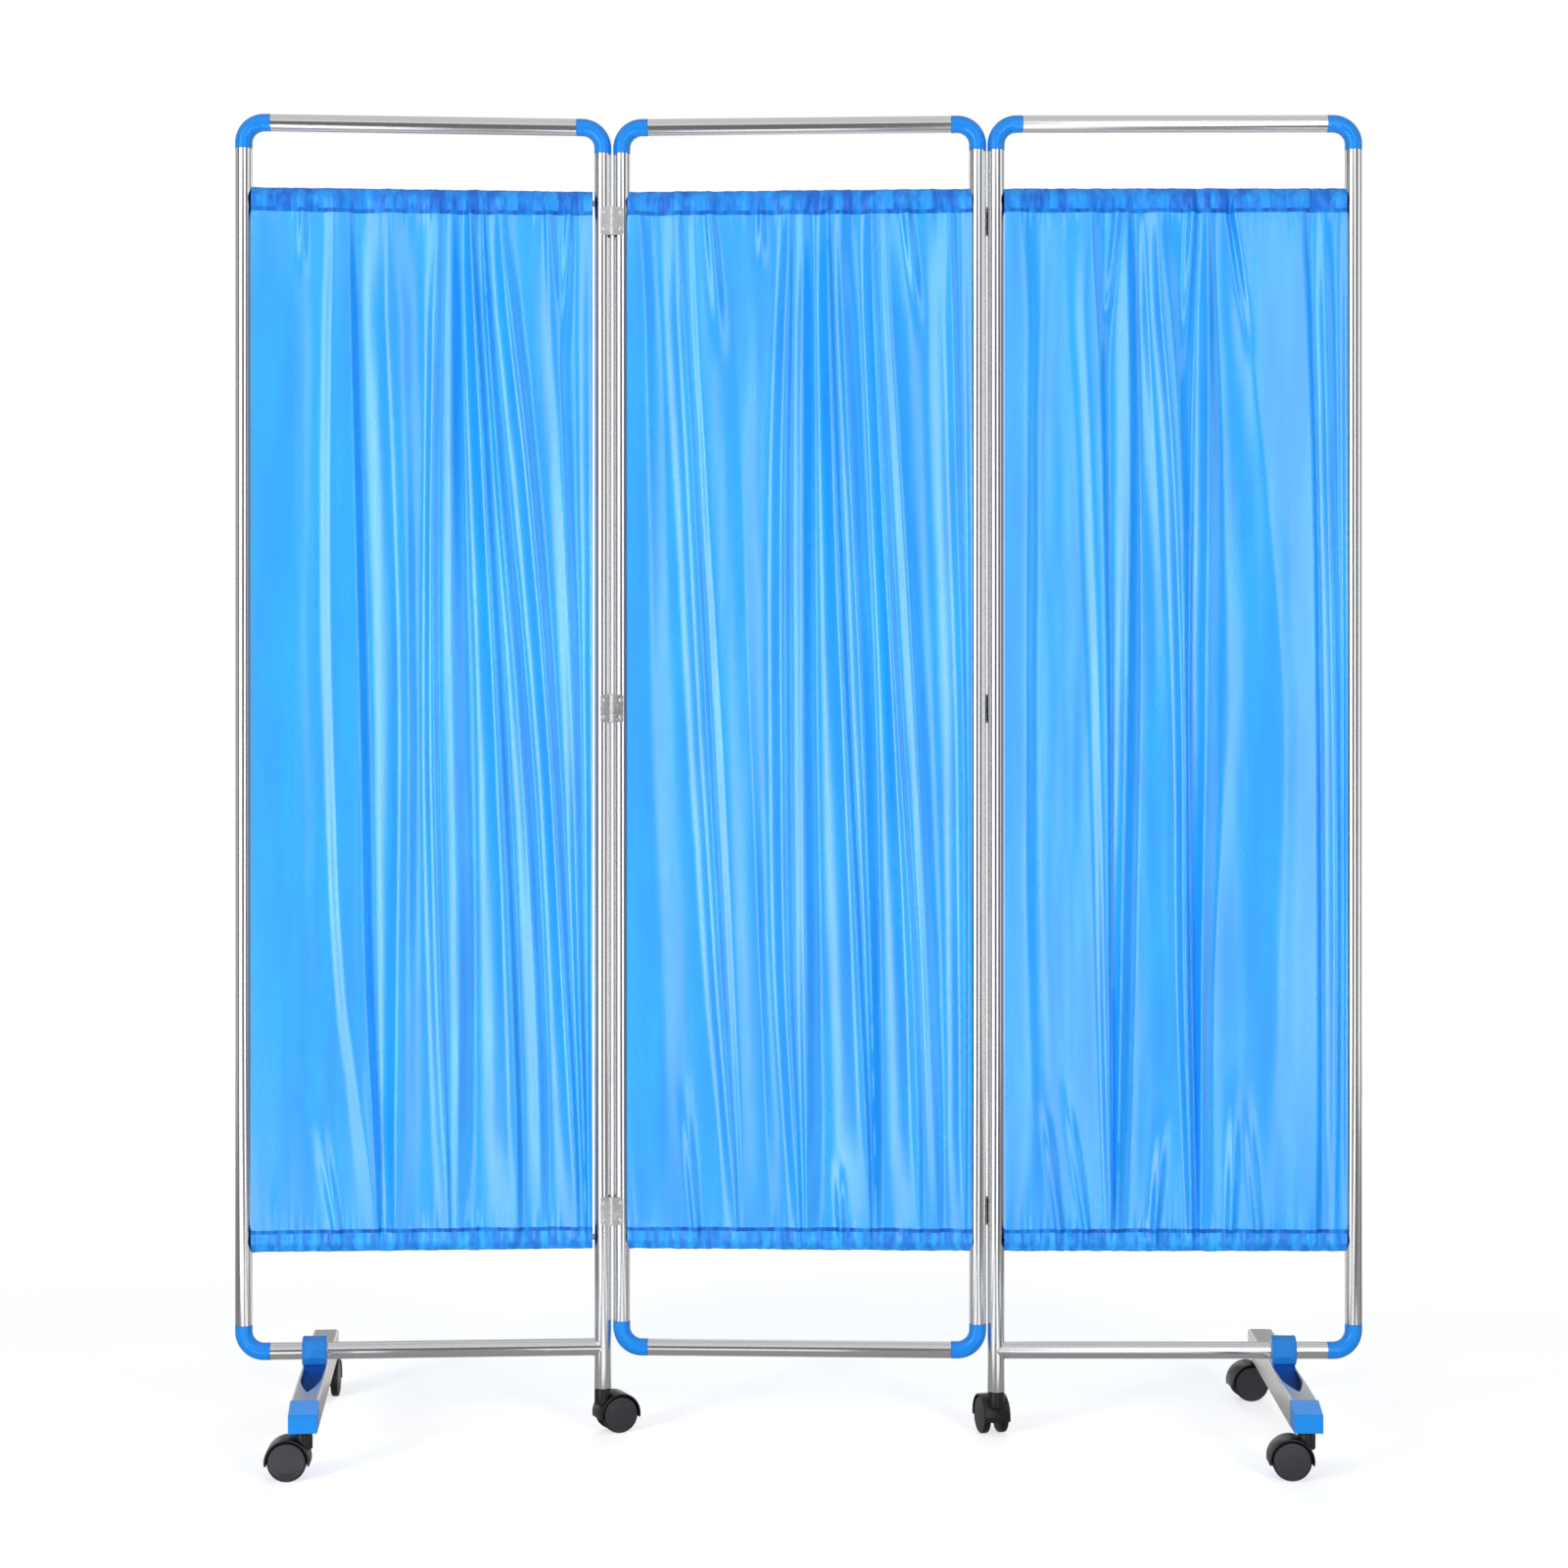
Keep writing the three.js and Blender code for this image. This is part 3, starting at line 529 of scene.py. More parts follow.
PALE_BLUE = "#9CCBFF"  # a blue surface gives its gloss a cast of its own
CHROME = ChromedSteel()
PLATE = PlatedSheet()
HINGE_PLATE = PlatedSheet("bright zinc on the hinges", "#F4F4F5", "#DCDDE0", 0.24, 0.4)
ROD_STEEL = PlatedSheet("zinc plated rod", "#C3C5C9", "#9DA0A6", 0.22, 0.4, 5.0)
ELBOW_BLUE = MouldedPlastic("moulded polypropylene", "#1889E6", "#107CDA", 0.2, gleam=PALE_BLUE, gloss=1.0)
# the cap's top is the same blue plastic as its sides, painted paler as painted light from above
CAP_PAINTED_LIT_TOP = MouldedPlastic("cap plastic, top", "#5CA8F0", "#529FE8", 0.34, gleam=PALE_BLUE)
CAP_BLUE = MouldedPlastic("cap plastic, sides", "#1F88DC", "#1A7FD2", 0.3, gleam=PALE_BLUE)
CLAMP_BLUE = MouldedPlastic("moulded clamp plastic", "#2A84D6", "#1F74C6", 0.16, 2.0, 0.1,
                            gleam=PALE_BLUE, gloss=0.8)
# the tongue is the clamp's own blue plastic, painted darker as painted shade where it sits down in the slot
TONGUE_PAINTED_SHADE = MouldedPlastic("moulded tongue plastic", "#164FA4", "#0F4496", 0.26, 2.0, 0.1,
                             gleam=PALE_BLUE)
HOOD_BLACK = MouldedPlastic("black nylon hood", "#121113", "#0E0D10", 0.3, 1.4, 0.14, 1.53, gloss=0.4)
WHEEL_BLACK = MouldedPlastic("black nylon wheel", "#111012", "#0D0C0F", 0.42, 1.2, 0.14, 1.53, gloss=0.3)
FACE_GREY = MouldedPlastic("wheel face nylon", "#343237", "#2D2B30", 0.4, 1.6, 0.12, 1.53, gloss=0.4)
CLOTH = PolyesterCloth()
HEADER_CLOTH = PolyesterCloth("doubled polyester at the header", "#1C94EC", "#0060C6", 0.3, 0.34,
                              satin=0.2, patch_mm=11.0)
# the rows at the stitching of header and hem are the same cloth painted darker: painted shade along the seams
SEAM_PAINTED_SHADE_CLOTH = PolyesterCloth("stitched polyester", "#1480DA", "#0452AE", 0.2, 0.4,
                                satin=0.1, patch_mm=9.0)
HEM_CLOTH = PolyesterCloth("doubled polyester at the hem", "#24A6F8", "#0674D4", 0.4, 0.32,
                           satin=0.3, patch_mm=11.0)


# ---- tubes and elbows


@dataclass
class Panel:
    """One panel's frame of tubes and elbows. Its own frame has X along it and its post axes at X."""

    name: str
    body: str
    place: Place
    inner: float | None = None  # X of the post that runs down to a castor, or nothing
    spacing: float = 487.0  # between the posts' axes
    tube_radius: float = 11.5
    tube_wall: float = 1.2
    tube_edge: float = 0.3  # taken off a cut end's outer edge
    tube_flats: int = 64
    top: float = 1788.5
    bottom: float = 117.0
    bend: float = 28.0
    sleeve: float = 8.0
    spigot: float = 12.0
    inset: float = 1.3  # of a spigot or an end disc from its tube's outer face
    foot_of_post: float = 61.0
    disc_depth: float = 0.6  # of the end disc inside a post
    socket: float = 5.3  # radius of the disc's hole for the castor's stem
    seam: float = 0.15  # between a tube's end and the elbow's shoulder
    swell: float = 0.25  # of the elbow over the tube
    bead: float = 0.9  # half the width of a weld bead

    @property
    def reach(self) -> float:
        """From a corner's meeting point of axes to the end of its elbow."""
        return self.bend + self.sleeve

    def put(self, form: Form, what: str, kind: str, slot: str, finish: Finish) -> None:
        """Sets down the piece, of a kind and in a finish, that stands for the panel's node of that name."""
        mark = Mark(f"{self.name}_{what}_{kind}", self.body, slot, (f"{self.name}_{what}",))
        set_down(form, mark, self.place, [finish])

    def tube(self, form: Form, low: float, high: float, axis: str, at: Point) -> None:
        """A tube, with the outer edges of its ends eased.

        Args:
            form: The surface to which it is added.
            low: Start along the axis.
            high: End along the axis.
            axis: "x" or "z".
            at: A point on the axis, from which low and high are counted.
        """
        r, wall, edge = self.tube_radius, self.tube_wall, self.tube_edge
        form.turned([(r - wall, low), (r - edge, low), (r, low + edge), (r, high - edge), (r - edge, high),
                     (r - wall, high)], axis, at, self.tube_flats)

    def post(self, x: float, what: str) -> None:
        """A post, from elbow to elbow or down to its castor.

        Args:
            x: Where its axis stands.
            what: Its node's name without the panel's.
        """
        runs_down = self.inner is not None and abs(x - self.inner) < 1
        low = self.foot_of_post if runs_down else self.bottom + self.reach + self.seam
        form = Form()
        self.tube(form, low, self.top - self.reach - self.seam, "z", (x, 0, 0))
        if runs_down:
            disc = low + self.disc_depth
            form.turned([(self.tube_radius - self.inset, disc), (self.socket, disc)], "z", (x, 0, 0),
                        self.tube_flats)
        self.put(form, what, "tube", "chromed_tube", CHROME)

    def rail(self, z: float, what: str) -> None:
        """A rail. A wing's bottom rail runs into its inner post, where it is welded.

        Args:
            z: Height of its axis.
            what: Its node's name without the panel's.
        """
        half = self.spacing / 2 - self.reach - self.seam
        low, high = -half, half
        form = Form()
        if self.inner is not None and z < self.top:
            sign = math.copysign(1, self.inner)
            low, high = sorted((-sign * half, self.inner))
            self.weld(form, self.inner, z, -sign)
        self.tube(form, low, high, "x", (0, 0, z))
        self.put(form, what, "tube", "chromed_tube", CHROME)

    def weld(self, form: Form, x: float, z: float, toward: float) -> None:
        """The thin weld bead where a rail meets a post of its own size.

        Args:
            form: The rail's surface, to which the bead is added.
            x: Where the post's axis stands.
            z: Height of the rail's axis.
            toward: Direction along X in which the rail leaves the post.
        """
        rings, count, sides = [], 48, 8
        along = Vector((toward, 0, 0))
        for i in range(count + 1):
            angle = 2 * math.pi * i / count
            y, up = self.tube_radius * math.sin(angle), self.tube_radius * math.cos(angle)
            across = toward * abs(up)
            centre = Vector((x + across, y, z + up))
            out = Vector((across * 0.2, y, up)).normalized()
            rings.append([tuple(centre + (out * math.cos(a) + along * math.sin(a)) * self.bead)
                          for a in [2 * math.pi * k / sides for k in range(sides)]])
        form.loft(rings, capped=False)

    def elbow(self, x: float, z: float, what: str) -> None:
        """A moulded bend with a sleeve at each end and a spigot inside each tube.

        Args:
            x: Where the post's axis stands.
            z: Height of the rail's axis.
            what: Its node's name without the panel's.
        """
        across, up = -math.copysign(1, x), (-1 if z > self.top - 1 else 1)
        end = [(-self.spigot, -2 * self.inset), (1 - self.spigot, -self.inset), (-0.02, -self.inset),
               (0.0, -0.1), (0.3, self.swell), (self.sleeve, self.swell)]
        path = [(x + across * (self.reach - run), z) for run, _ in end]
        turns = 18
        for i in range(1, turns):
            angle = math.pi / 2 * i / turns
            path.append((x + across * self.bend * (1 - math.sin(angle)),
                         z + up * self.bend * (1 - math.cos(angle))))
        path += [(x, z + up * (self.reach - run)) for run, _ in reversed(end)]
        grown = [more for _, more in end]
        radii = [self.tube_radius + more for more in grown + [self.swell] * (turns - 1) + grown[::-1]]
        self.put(Form().swept(path, radii), what, "bend", "blue_plastic", ELBOW_BLUE)

    def build(self) -> None:
        """Makes the posts, rails and elbows of the panel."""
        half = self.spacing / 2
        if self.inner is None:
            posts = {"left_post": -half, "right_post": half}
            elbows = {"top_left_elbow": (-half, self.top), "top_right_elbow": (half, self.top),
                      "bottom_left_elbow": (-half, self.bottom), "bottom_right_elbow": (half, self.bottom)}
        else:
            posts = {"inner_post": self.inner, "outer_post": -self.inner}
            elbows = {"top_inner_elbow": (self.inner, self.top), "top_outer_elbow": (-self.inner, self.top),
                      "bottom_outer_elbow": (-self.inner, self.bottom)}
        for what, x in posts.items():
            self.post(x, what)
        for what, (x, z) in elbows.items():
            self.elbow(x, z, what)
        self.rail(self.top, "top_rail")
        self.rail(self.bottom, "bottom_rail")


# ---- curtains


@dataclass(frozen=True)
class Lane:
    """A crest or a hollow that runs down a curtain.

    across holds its place at five levels from header to hem, as shares of the cloth's width, and rise
    how far it stands forward of the cloth's plane, in millimetres.
    """

    across: tuple[float, float, float, float, float]
    rise: float

    def at(self, down: float) -> float:
        """Its place across the cloth, by a smooth curve through the five levels.

        Args:
            down: Share of the way from header to hem.

        Returns:
            The share of the width.
        """
        spot = min(max(down, 0.0), 1.0) * 4
        i = min(int(spot), 3)
        u = spot - i
        p = self.across
        a, b, c, d = p[max(i - 1, 0)], p[i], p[i + 1], p[min(i + 2, 4)]
        return 0.5 * (2 * b + (c - a) * u + (2 * a - 5 * b + 4 * c - d) * u * u
                      + (3 * b - a - 3 * c + d) * u ** 3)


@dataclass(frozen=True)
class Flare:
    """A short crease that opens from the header or the hem and dies away."""

    start: float  # share of the width, at the edge that it springs from
    lean: float  # share of the width that it moves over its length
    length: float  # share of the drop
    rise: float  # millimetres
    wide: float  # half width in millimetres
    from_top: bool


LEFT_LANES = (
    Lane((0.0, 0.0, 0.0, 0.0, 0.0), 3.6),
    Lane((0.035, 0.035, 0.03, 0.03, 0.03), 7.0),
    Lane((0.12, 0.12, 0.12, 0.12, 0.12), 3.0),
    Lane((0.205, 0.195, 0.2, 0.235, 0.31), 1.2),
    Lane((0.24, 0.232, 0.24, 0.272, 0.362), 3.4),
    Lane((0.285, 0.3, 0.317, 0.332, 0.37), 2.2),
    Lane((0.307, 0.326, 0.347, 0.361, 0.38), -3.6),
    Lane((0.4, 0.43, 0.45, 0.437, 0.42), 4.6),
    Lane((0.5, 0.5, 0.495, 0.506, 0.53), 0.4),
    Lane((0.548, 0.53, 0.53, 0.548, 0.577), 4.2),
    Lane((0.562, 0.551, 0.552, 0.568, 0.584), 1.2),
    Lane((0.585, 0.585, 0.592, 0.608, 0.6), 2.6),
    Lane((0.612, 0.63, 0.653, 0.66, 0.664), -3.6),
    Lane((0.64, 0.68, 0.72, 0.756, 0.78), 4.6),
    Lane((0.66, 0.702, 0.75, 0.784, 0.8), -0.8),
    Lane((0.676, 0.722, 0.784, 0.83, 0.85), 1.6),
    Lane((0.688, 0.75, 0.82, 0.863, 0.88), -2.2),
    Lane((0.728, 0.807, 0.87, 0.915, 0.955), 4.2),
    Lane((0.778, 0.85, 0.9, 0.938, 0.968), 0.2),
    Lane((0.88, 0.912, 0.943, 0.96, 0.98), 3.0),
    Lane((0.95, 0.96, 0.972, 0.98, 0.988), -0.5),
    Lane((1.0, 1.0, 1.0, 1.0, 1.0), 2.5),
)
MIDDLE_LANES = (
    Lane((0.0, 0.0, 0.0, 0.0, 0.0), 3.2),
    Lane((0.028, 0.028, 0.023, 0.028, 0.034), 6.4),
    Lane((0.09, 0.125, 0.165, 0.216, 0.278), -0.4),
    Lane((0.15, 0.188, 0.227, 0.27, 0.318), 4.8),
    Lane((0.17, 0.207, 0.247, 0.287, 0.327), 1.4),
    Lane((0.193, 0.23, 0.276, 0.312, 0.338), 3.0),
    Lane((0.298, 0.327, 0.355, 0.384, 0.412), 0.8),
    Lane((0.432, 0.406, 0.406, 0.42, 0.463), -1.4),
    Lane((0.472, 0.457, 0.457, 0.466, 0.5), 5.0),
    Lane((0.486, 0.477, 0.477, 0.486, 0.511), 0.8),
    Lane((0.511, 0.509, 0.511, 0.517, 0.52), 3.0),
    Lane((0.545, 0.551, 0.557, 0.568, 0.577), -4.0),
    Lane((0.582, 0.602, 0.634, 0.67, 0.705), 4.4),
    Lane((0.594, 0.62, 0.65, 0.688, 0.713), 0.0),
    Lane((0.617, 0.648, 0.682, 0.707, 0.722), 2.4),
    Lane((0.67, 0.699, 0.727, 0.739, 0.744), -3.4),
    Lane((0.71, 0.739, 0.781, 0.824, 0.847), 5.0),
    Lane((0.727, 0.761, 0.801, 0.847, 0.864), 1.0),
    Lane((0.75, 0.79, 0.835, 0.87, 0.898), 2.8),
    Lane((0.838, 0.866, 0.895, 0.915, 0.926), -1.2),
    Lane((0.937, 0.949, 0.972, 0.977, 0.977), 4.6),
    Lane((0.963, 0.977, 0.986, 0.989, 0.989), 0.2),
    Lane((1.0, 1.0, 1.0, 1.0, 1.0), 2.2),
)
RIGHT_LANES = (
    Lane((0.0, 0.0, 0.0, 0.0, 0.0), 3.2),
    Lane((0.045, 0.045, 0.039, 0.034, 0.034), 6.0),
    Lane((0.123, 0.112, 0.106, 0.129, 0.17), 0.2),
    Lane((0.168, 0.207, 0.241, 0.263, 0.286), 0.4),
    Lane((0.252, 0.28, 0.297, 0.303, 0.311), 5.2),
    Lane((0.308, 0.308, 0.314, 0.314, 0.317), -1.4),
    Lane((0.359, 0.367, 0.356, 0.342, 0.331), 2.6),
    Lane((0.387, 0.401, 0.406, 0.392, 0.37), -4.2),
    Lane((0.41, 0.448, 0.487, 0.499, 0.524), -1.2),
    Lane((0.448, 0.51, 0.527, 0.53, 0.546), 5.4),
    Lane((0.566, 0.549, 0.541, 0.549, 0.563), -3.0),
    Lane((0.594, 0.597, 0.591, 0.577, 0.574), 2.6),
    Lane((0.616, 0.65, 0.664, 0.622, 0.616), -1.8),
    Lane((0.683, 0.762, 0.818, 0.804, 0.79), 2.6),
    Lane((0.79, 0.832, 0.86, 0.852, 0.846), 3.8),
    Lane((0.868, 0.894, 0.905, 0.908, 0.908), 5.6),
    Lane((0.896, 0.913, 0.924, 0.93, 0.93), -0.6),
    Lane((0.93, 0.947, 0.964, 0.969, 0.964), 3.2),
    Lane((0.975, 0.98, 0.986, 0.986, 0.983), -0.4),
    Lane((1.0, 1.0, 1.0, 1.0, 1.0), 2.2),
)
LEFT_FLARES = (
    Flare(0.15, 0.0, 0.07, 1.6, 7, True),
    Flare(0.87, 0.03, 0.2, 2.0, 8, True),
    Flare(0.93, -0.02, 0.16, 1.8, 9, True),
    Flare(0.25, -0.06, 0.12, 2.2, 9, False),
    Flare(0.06, -0.03, 0.1, 1.4, 8, False),
)
MIDDLE_FLARES = (
    Flare(0.24, 0.04, 0.16, 2.2, 9, True),
    Flare(0.39, 0.0, 0.06, 1.4, 7, True),
    Flare(0.81, 0.05, 0.14, 2.0, 9, True),
    Flare(0.2, -0.04, 0.16, 2.2, 8, False),
    Flare(0.62, -0.01, 0.08, 2.0, 8, False),
    Flare(0.04, -0.03, 0.2, 1.6, 7, False),
)
RIGHT_FLARES = (
    Flare(0.33, -0.05, 0.17, 2.6, 8, True),
    Flare(0.55, -0.03, 0.2, 2.6, 9, True),
    Flare(0.66, 0.07, 0.16, -2.4, 6, True),
    Flare(0.16, -0.05, 0.14, 2.6, 7, False),
    Flare(0.24, -0.07, 0.16, 2.4, 7, False),
    Flare(0.44, 0.03, 0.12, 2.4, 8, False),
    Flare(0.66, 0.02, 0.16, 2.4, 9, False),
    Flare(0.74, -0.04, 0.16, 2.0, 8, False),
)


def held_under(value: float, start: float, room: float) -> float:
    """A value that bends over above start and stays under start plus room."""
    return value if value < start else start + room * math.tanh((value - start) / room)


@dataclass
class Curtain:
    """A gathered curtain between two rods, as one sheet of cloth with a pocket at each end."""

    panel: Panel
    lanes: tuple[Lane, ...]
    flares: tuple[Flare, ...]
    seed: float
    width: float = 466.0
    shift: float = 0.0
    depth: float = 2.5  # by which the lanes' rises are drawn out
    crest: float = 0.68  # below 1, crests are narrower than hollows
    flared: float = 4.2  # by which the flares' rises are drawn out
    top: float = 1700.5
    header: float = 34.0
    bottom: float = 252.0
    hem: float = 31.0
    top_rod: float = 1684.5
    bottom_rod: float = 268.0
    rod_radius: float = 4.0
    rod_edge: float = 0.8
    rod_hole: float = 6.0  # from a post's axis to the rod's end
    rod_gap: float = 0.9  # that the cloth keeps from the rod's steel
    plane: float = 4.4  # how far the cloth hangs in front of the panel's middle
    curl: float = 3.0  # how far the side edges curl forward
    curl_width: float = 16.0
    pleat: float = 5.5  # width of the fine pleats at the rods
    tuck: float = 13.0  # width of the broader ones
    pleat_rise: float = 2.2
    pleat_fade: float = 17.0  # distance over which a pleat dies away from the stitching
    pinched: float = 0.45  # share of the folds' depth that the stitching leaves
    freed: float = 0.55  # share that comes back
    freed_by: float = 0.1  # share of the drop in which it does
    face_limit: Pair = (8.8, 3.2)  # where crests begin to flatten, and the room above, so that wings close
    pocket_limit: Pair = (9.6, 3.0)  # the same for the pockets
    slack: float = 3.0  # of a pocket in front of its rod
    back_slack: float = 2.2
    ruffle: float = 2.6  # by which the pleats move a pocket's front
    back_ruffle: float = 1.4
    belly: float = 9.0  # distance from the rod's axis over which a pocket is full
    layer: float = 0.9  # from the front cloth to the back one at the seam
    fullness: float = 1.3  # flat width of the cloth over the width that it is gathered to
    columns: int = 300
    rows: int = 120
    loops: int = 18  # rows of mesh round a rod

    def folds(self, across: float, down: float) -> float:
        """The long folds, from lane to lane.

        Args:
            across: Share of the cloth's width.
            down: Share of the way from header to hem.

        Returns:
            How far the cloth stands forward, in millimetres.
        """
        spots = [lane.at(down) for lane in self.lanes]
        i = max(k for k in range(len(spots) - 1) if spots[k] <= across or k == 0)
        span = max(spots[i + 1] - spots[i], 1e-4)
        u = min(max((across - spots[i]) / span, 0.0), 1.0)
        near, far = self.lanes[i].rise, self.lanes[i + 1].rise
        u = u ** self.crest if near > far else 1 - (1 - u) ** self.crest
        u = u * u * (3 - 2 * u)
        return self.depth * (near + (far - near) * u)

    def creases(self, across: float, down: float) -> float:
        """The short flares that spring from header and hem.

        Args:
            across: Share of the cloth's width.
            down: Share of the way from header to hem.

        Returns:
            How far the cloth stands forward, in millimetres.
        """
        total = 0.0
        for flare in self.flares:
            run = down / flare.length if flare.from_top else (1 - down) / flare.length
            if run < 1:
                away = (across - flare.start - flare.lean * run) * self.width
                wide = flare.wide * (0.55 + 0.6 * run)
                total += self.flared * flare.rise * (1 - run) ** 1.2 * math.exp(-(away / wide) ** 2)
        return total

    def pleats(self, across: float) -> float:
        """The small pleats into which a rod gathers the cloth.

        Args:
            across: Share of the cloth's width.

        Returns:
            From -1 in a hollow to 1 on a crest.
        """
        x = across * self.width
        fine = noise.noise(Vector((x / self.pleat, self.seed, 0.3)))
        broad = noise.noise(Vector((x / self.tuck, self.seed, 4.3)))
        return max(-1.0, min(1.0, 1.1 * fine + 1.2 * broad))

    def gathered(self, across: float, up: float) -> float:
        """How far a pleat stands forward, up millimetres away from the rod's stitching."""
        strength = 0.25 + 0.9 * max(0.0, noise.noise(Vector((across * 11, self.seed, 7.1))) + 0.2)
        return self.pleat_rise * strength * self.pleats(across) * math.exp(-up / self.pleat_fade)

    def uneven(self, across: float, z: float) -> float:
        """The soft unevenness of hanging cloth at a share across and a height, in millimetres."""
        spot = Vector((across * self.width / 30, self.seed, z / 420))
        return 0.8 * noise.noise(spot) + 0.35 * noise.noise(spot * 2.3)

    def curled(self, across: float) -> float:
        """How far the nearer side edge's curl brings the cloth forward."""
        return self.curl * math.exp(-(min(across, 1 - across) * self.width / self.curl_width) ** 2)

    def face_height(self, across: float, z: float) -> float:
        """The hanging part between the pockets.

        Args:
            across: Share of the cloth's width.
            z: Height.

        Returns:
            How far the cloth stands forward of the panel's middle.
        """
        high, low = self.top - self.header, self.bottom + self.hem
        down = (high - z) / (high - low)
        settle = min(1.0, self.pinched + self.freed * min(down, 1 - down) / self.freed_by)
        loose = 1 if 0 < down < 1 else 0
        forward = (self.plane + self.curled(across) + settle * self.folds(across, down)
                   + self.creases(across, down) + self.gathered(across, high - z)
                   + self.gathered(across, z - low) + loose * self.uneven(across, z) * settle)
        return held_under(forward, *self.face_limit)

    def clear_of(self, rod: float, height: float) -> float:
        """How far from a rod's middle plane the cloth has to stay at a height."""
        return math.sqrt(max(0.0, (self.rod_radius + self.rod_gap) ** 2 - (height - rod) ** 2))

    def pocket(self, across: float, turn: float, rod: float, end: float, seam: float) -> Pair:
        """A point of a rod pocket's loop.

        Args:
            across: Share of the width.
            turn: Share of the loop, from the front seam over the end to the back seam.
            rod: Height of the rod's axis.
            end: Height of the pocket's outer end.
            seam: Height of the stitching.

        Returns:
            How far forward the point is, and its height.
        """
        ripple, front = self.pleats(across), self.face_height(across, seam)
        lift = math.copysign(1.0, end - seam)
        scallop = lift * (0.5 * ripple + 0.6 * noise.noise(Vector((across * 31, self.seed, 2.0))))
        if turn < 0.5:
            u = turn * 2
            height = seam + (end + scallop - seam) * math.sin(u * math.pi / 2)
            near = math.exp(-((height - rod) / self.belly) ** 2)
            bulge = self.rod_radius + self.slack + self.ruffle * ripple + self.curled(across)
            forward = front * (1 - u) ** 1.5 + (bulge * near + 2.6) * (1 - (1 - u) ** 1.5) * (1 - u ** 5)
            return max(held_under(forward, *self.pocket_limit), self.clear_of(rod, height)), height
        u = (turn - 0.5) * 2
        height = seam + (end + scallop - seam) * math.cos(u * math.pi / 2)
        near = math.exp(-((height - rod) / self.belly) ** 2)
        bulge = self.rod_radius + self.back_slack - self.back_ruffle * ripple
        back = -bulge * near * (1 - (1 - u) ** 5) + (front - self.layer) * u ** 7
        return min(back, -self.clear_of(rod, height)), height

    def row(self, point: Callable[[float], Pair]) -> list[Point]:
        """One row of the cloth's mesh, from edge to edge.

        Args:
            point: Gives how far forward the cloth is, and its height, at a share of the width.

        Returns:
            The row's points.
        """
        row = []
        for i in range(self.columns + 1):
            across = i / self.columns
            forward, height = point(across)
            row.append(((across - 0.5) * self.width + self.shift, -forward, height))
        return row

    def sheet(self) -> Form:
        """The cloth from the back of its hem, up its face and over to the back of its header.

        Returns:
            Its surface, with the skins in the order of the finishes that build gives it.
        """
        high, low = self.top - self.header, self.bottom + self.hem
        turns = [k / self.loops for k in range(1, self.loops + 1)]
        rows = [self.row(lambda s: self.pocket(s, t, self.bottom_rod, self.bottom, low))
                for t in reversed(turns)]
        hem_rows = len(rows)
        for k in range(self.rows + 1):
            share = k / self.rows
            z = low + (high - low) * (share - 0.06 * math.sin(2 * math.pi * share))  # closer near the rods
            rows.append(self.row(lambda s: (self.face_height(s, z), z)))
        face_rows = len(rows)
        rows += [self.row(lambda s: self.pocket(s, t, self.top_rod, self.top, high)) for t in turns]
        form = Form()
        for row in rows:
            form.corners.extend(row)
        face, header, hem, stitching = range(4)
        count = self.columns + 1
        for r in range(len(rows) - 1):
            form.skin = header if r >= face_rows else hem if r < hem_rows else face
            # the row at each seam takes the darker finish: painted shade along the stitching
            if r in (hem_rows - 1, face_rows - 1):
                form.skin = stitching
            for a in range(r * count, r * count + self.columns):
                form.face(a, a + 1, a + 1 + count, a + count)
        return form

    def rod(self, z: float, what: str, nodes: tuple[str, ...]) -> bpy.types.Object:
        """A rod from post to post, its ends in the holes that it hangs in.

        Args:
            z: Height of its axis.
            what: "top" or "bottom".
            nodes: The nodes that it stands for.

        Returns:
            The rod.
        """
        half, r, edge = self.panel.spacing / 2 - self.rod_hole, self.rod_radius, self.rod_edge
        form = Form().turned([(r - edge, -half), (r, -half + edge), (r, half - edge), (r - edge, half)],
                             "x", (0, 0, z), 32)
        mark = Mark(f"{self.panel.name}_{what}_rod_steel", self.panel.body, "bright_steel", nodes)
        return set_down(form, mark, self.panel.place, [ROD_STEEL])

    def build(self) -> None:
        """Makes both rods and the cloth."""
        name = self.panel.name
        upper = self.rod(self.top_rod, "top", (f"{name}_top_rod",))
        lower = self.rod(self.bottom_rod, "bottom", ())
        mark = Mark(f"{name}_curtain_cloth", self.panel.body, "curtain_cloth", (f"{name}_curtain",))
        cloth = set_down(self.sheet(), mark, self.panel.place,
                         [CLOTH, HEADER_CLOTH, HEM_CLOTH, SEAM_PAINTED_SHADE_CLOTH], crease=80)


# ---- hinges


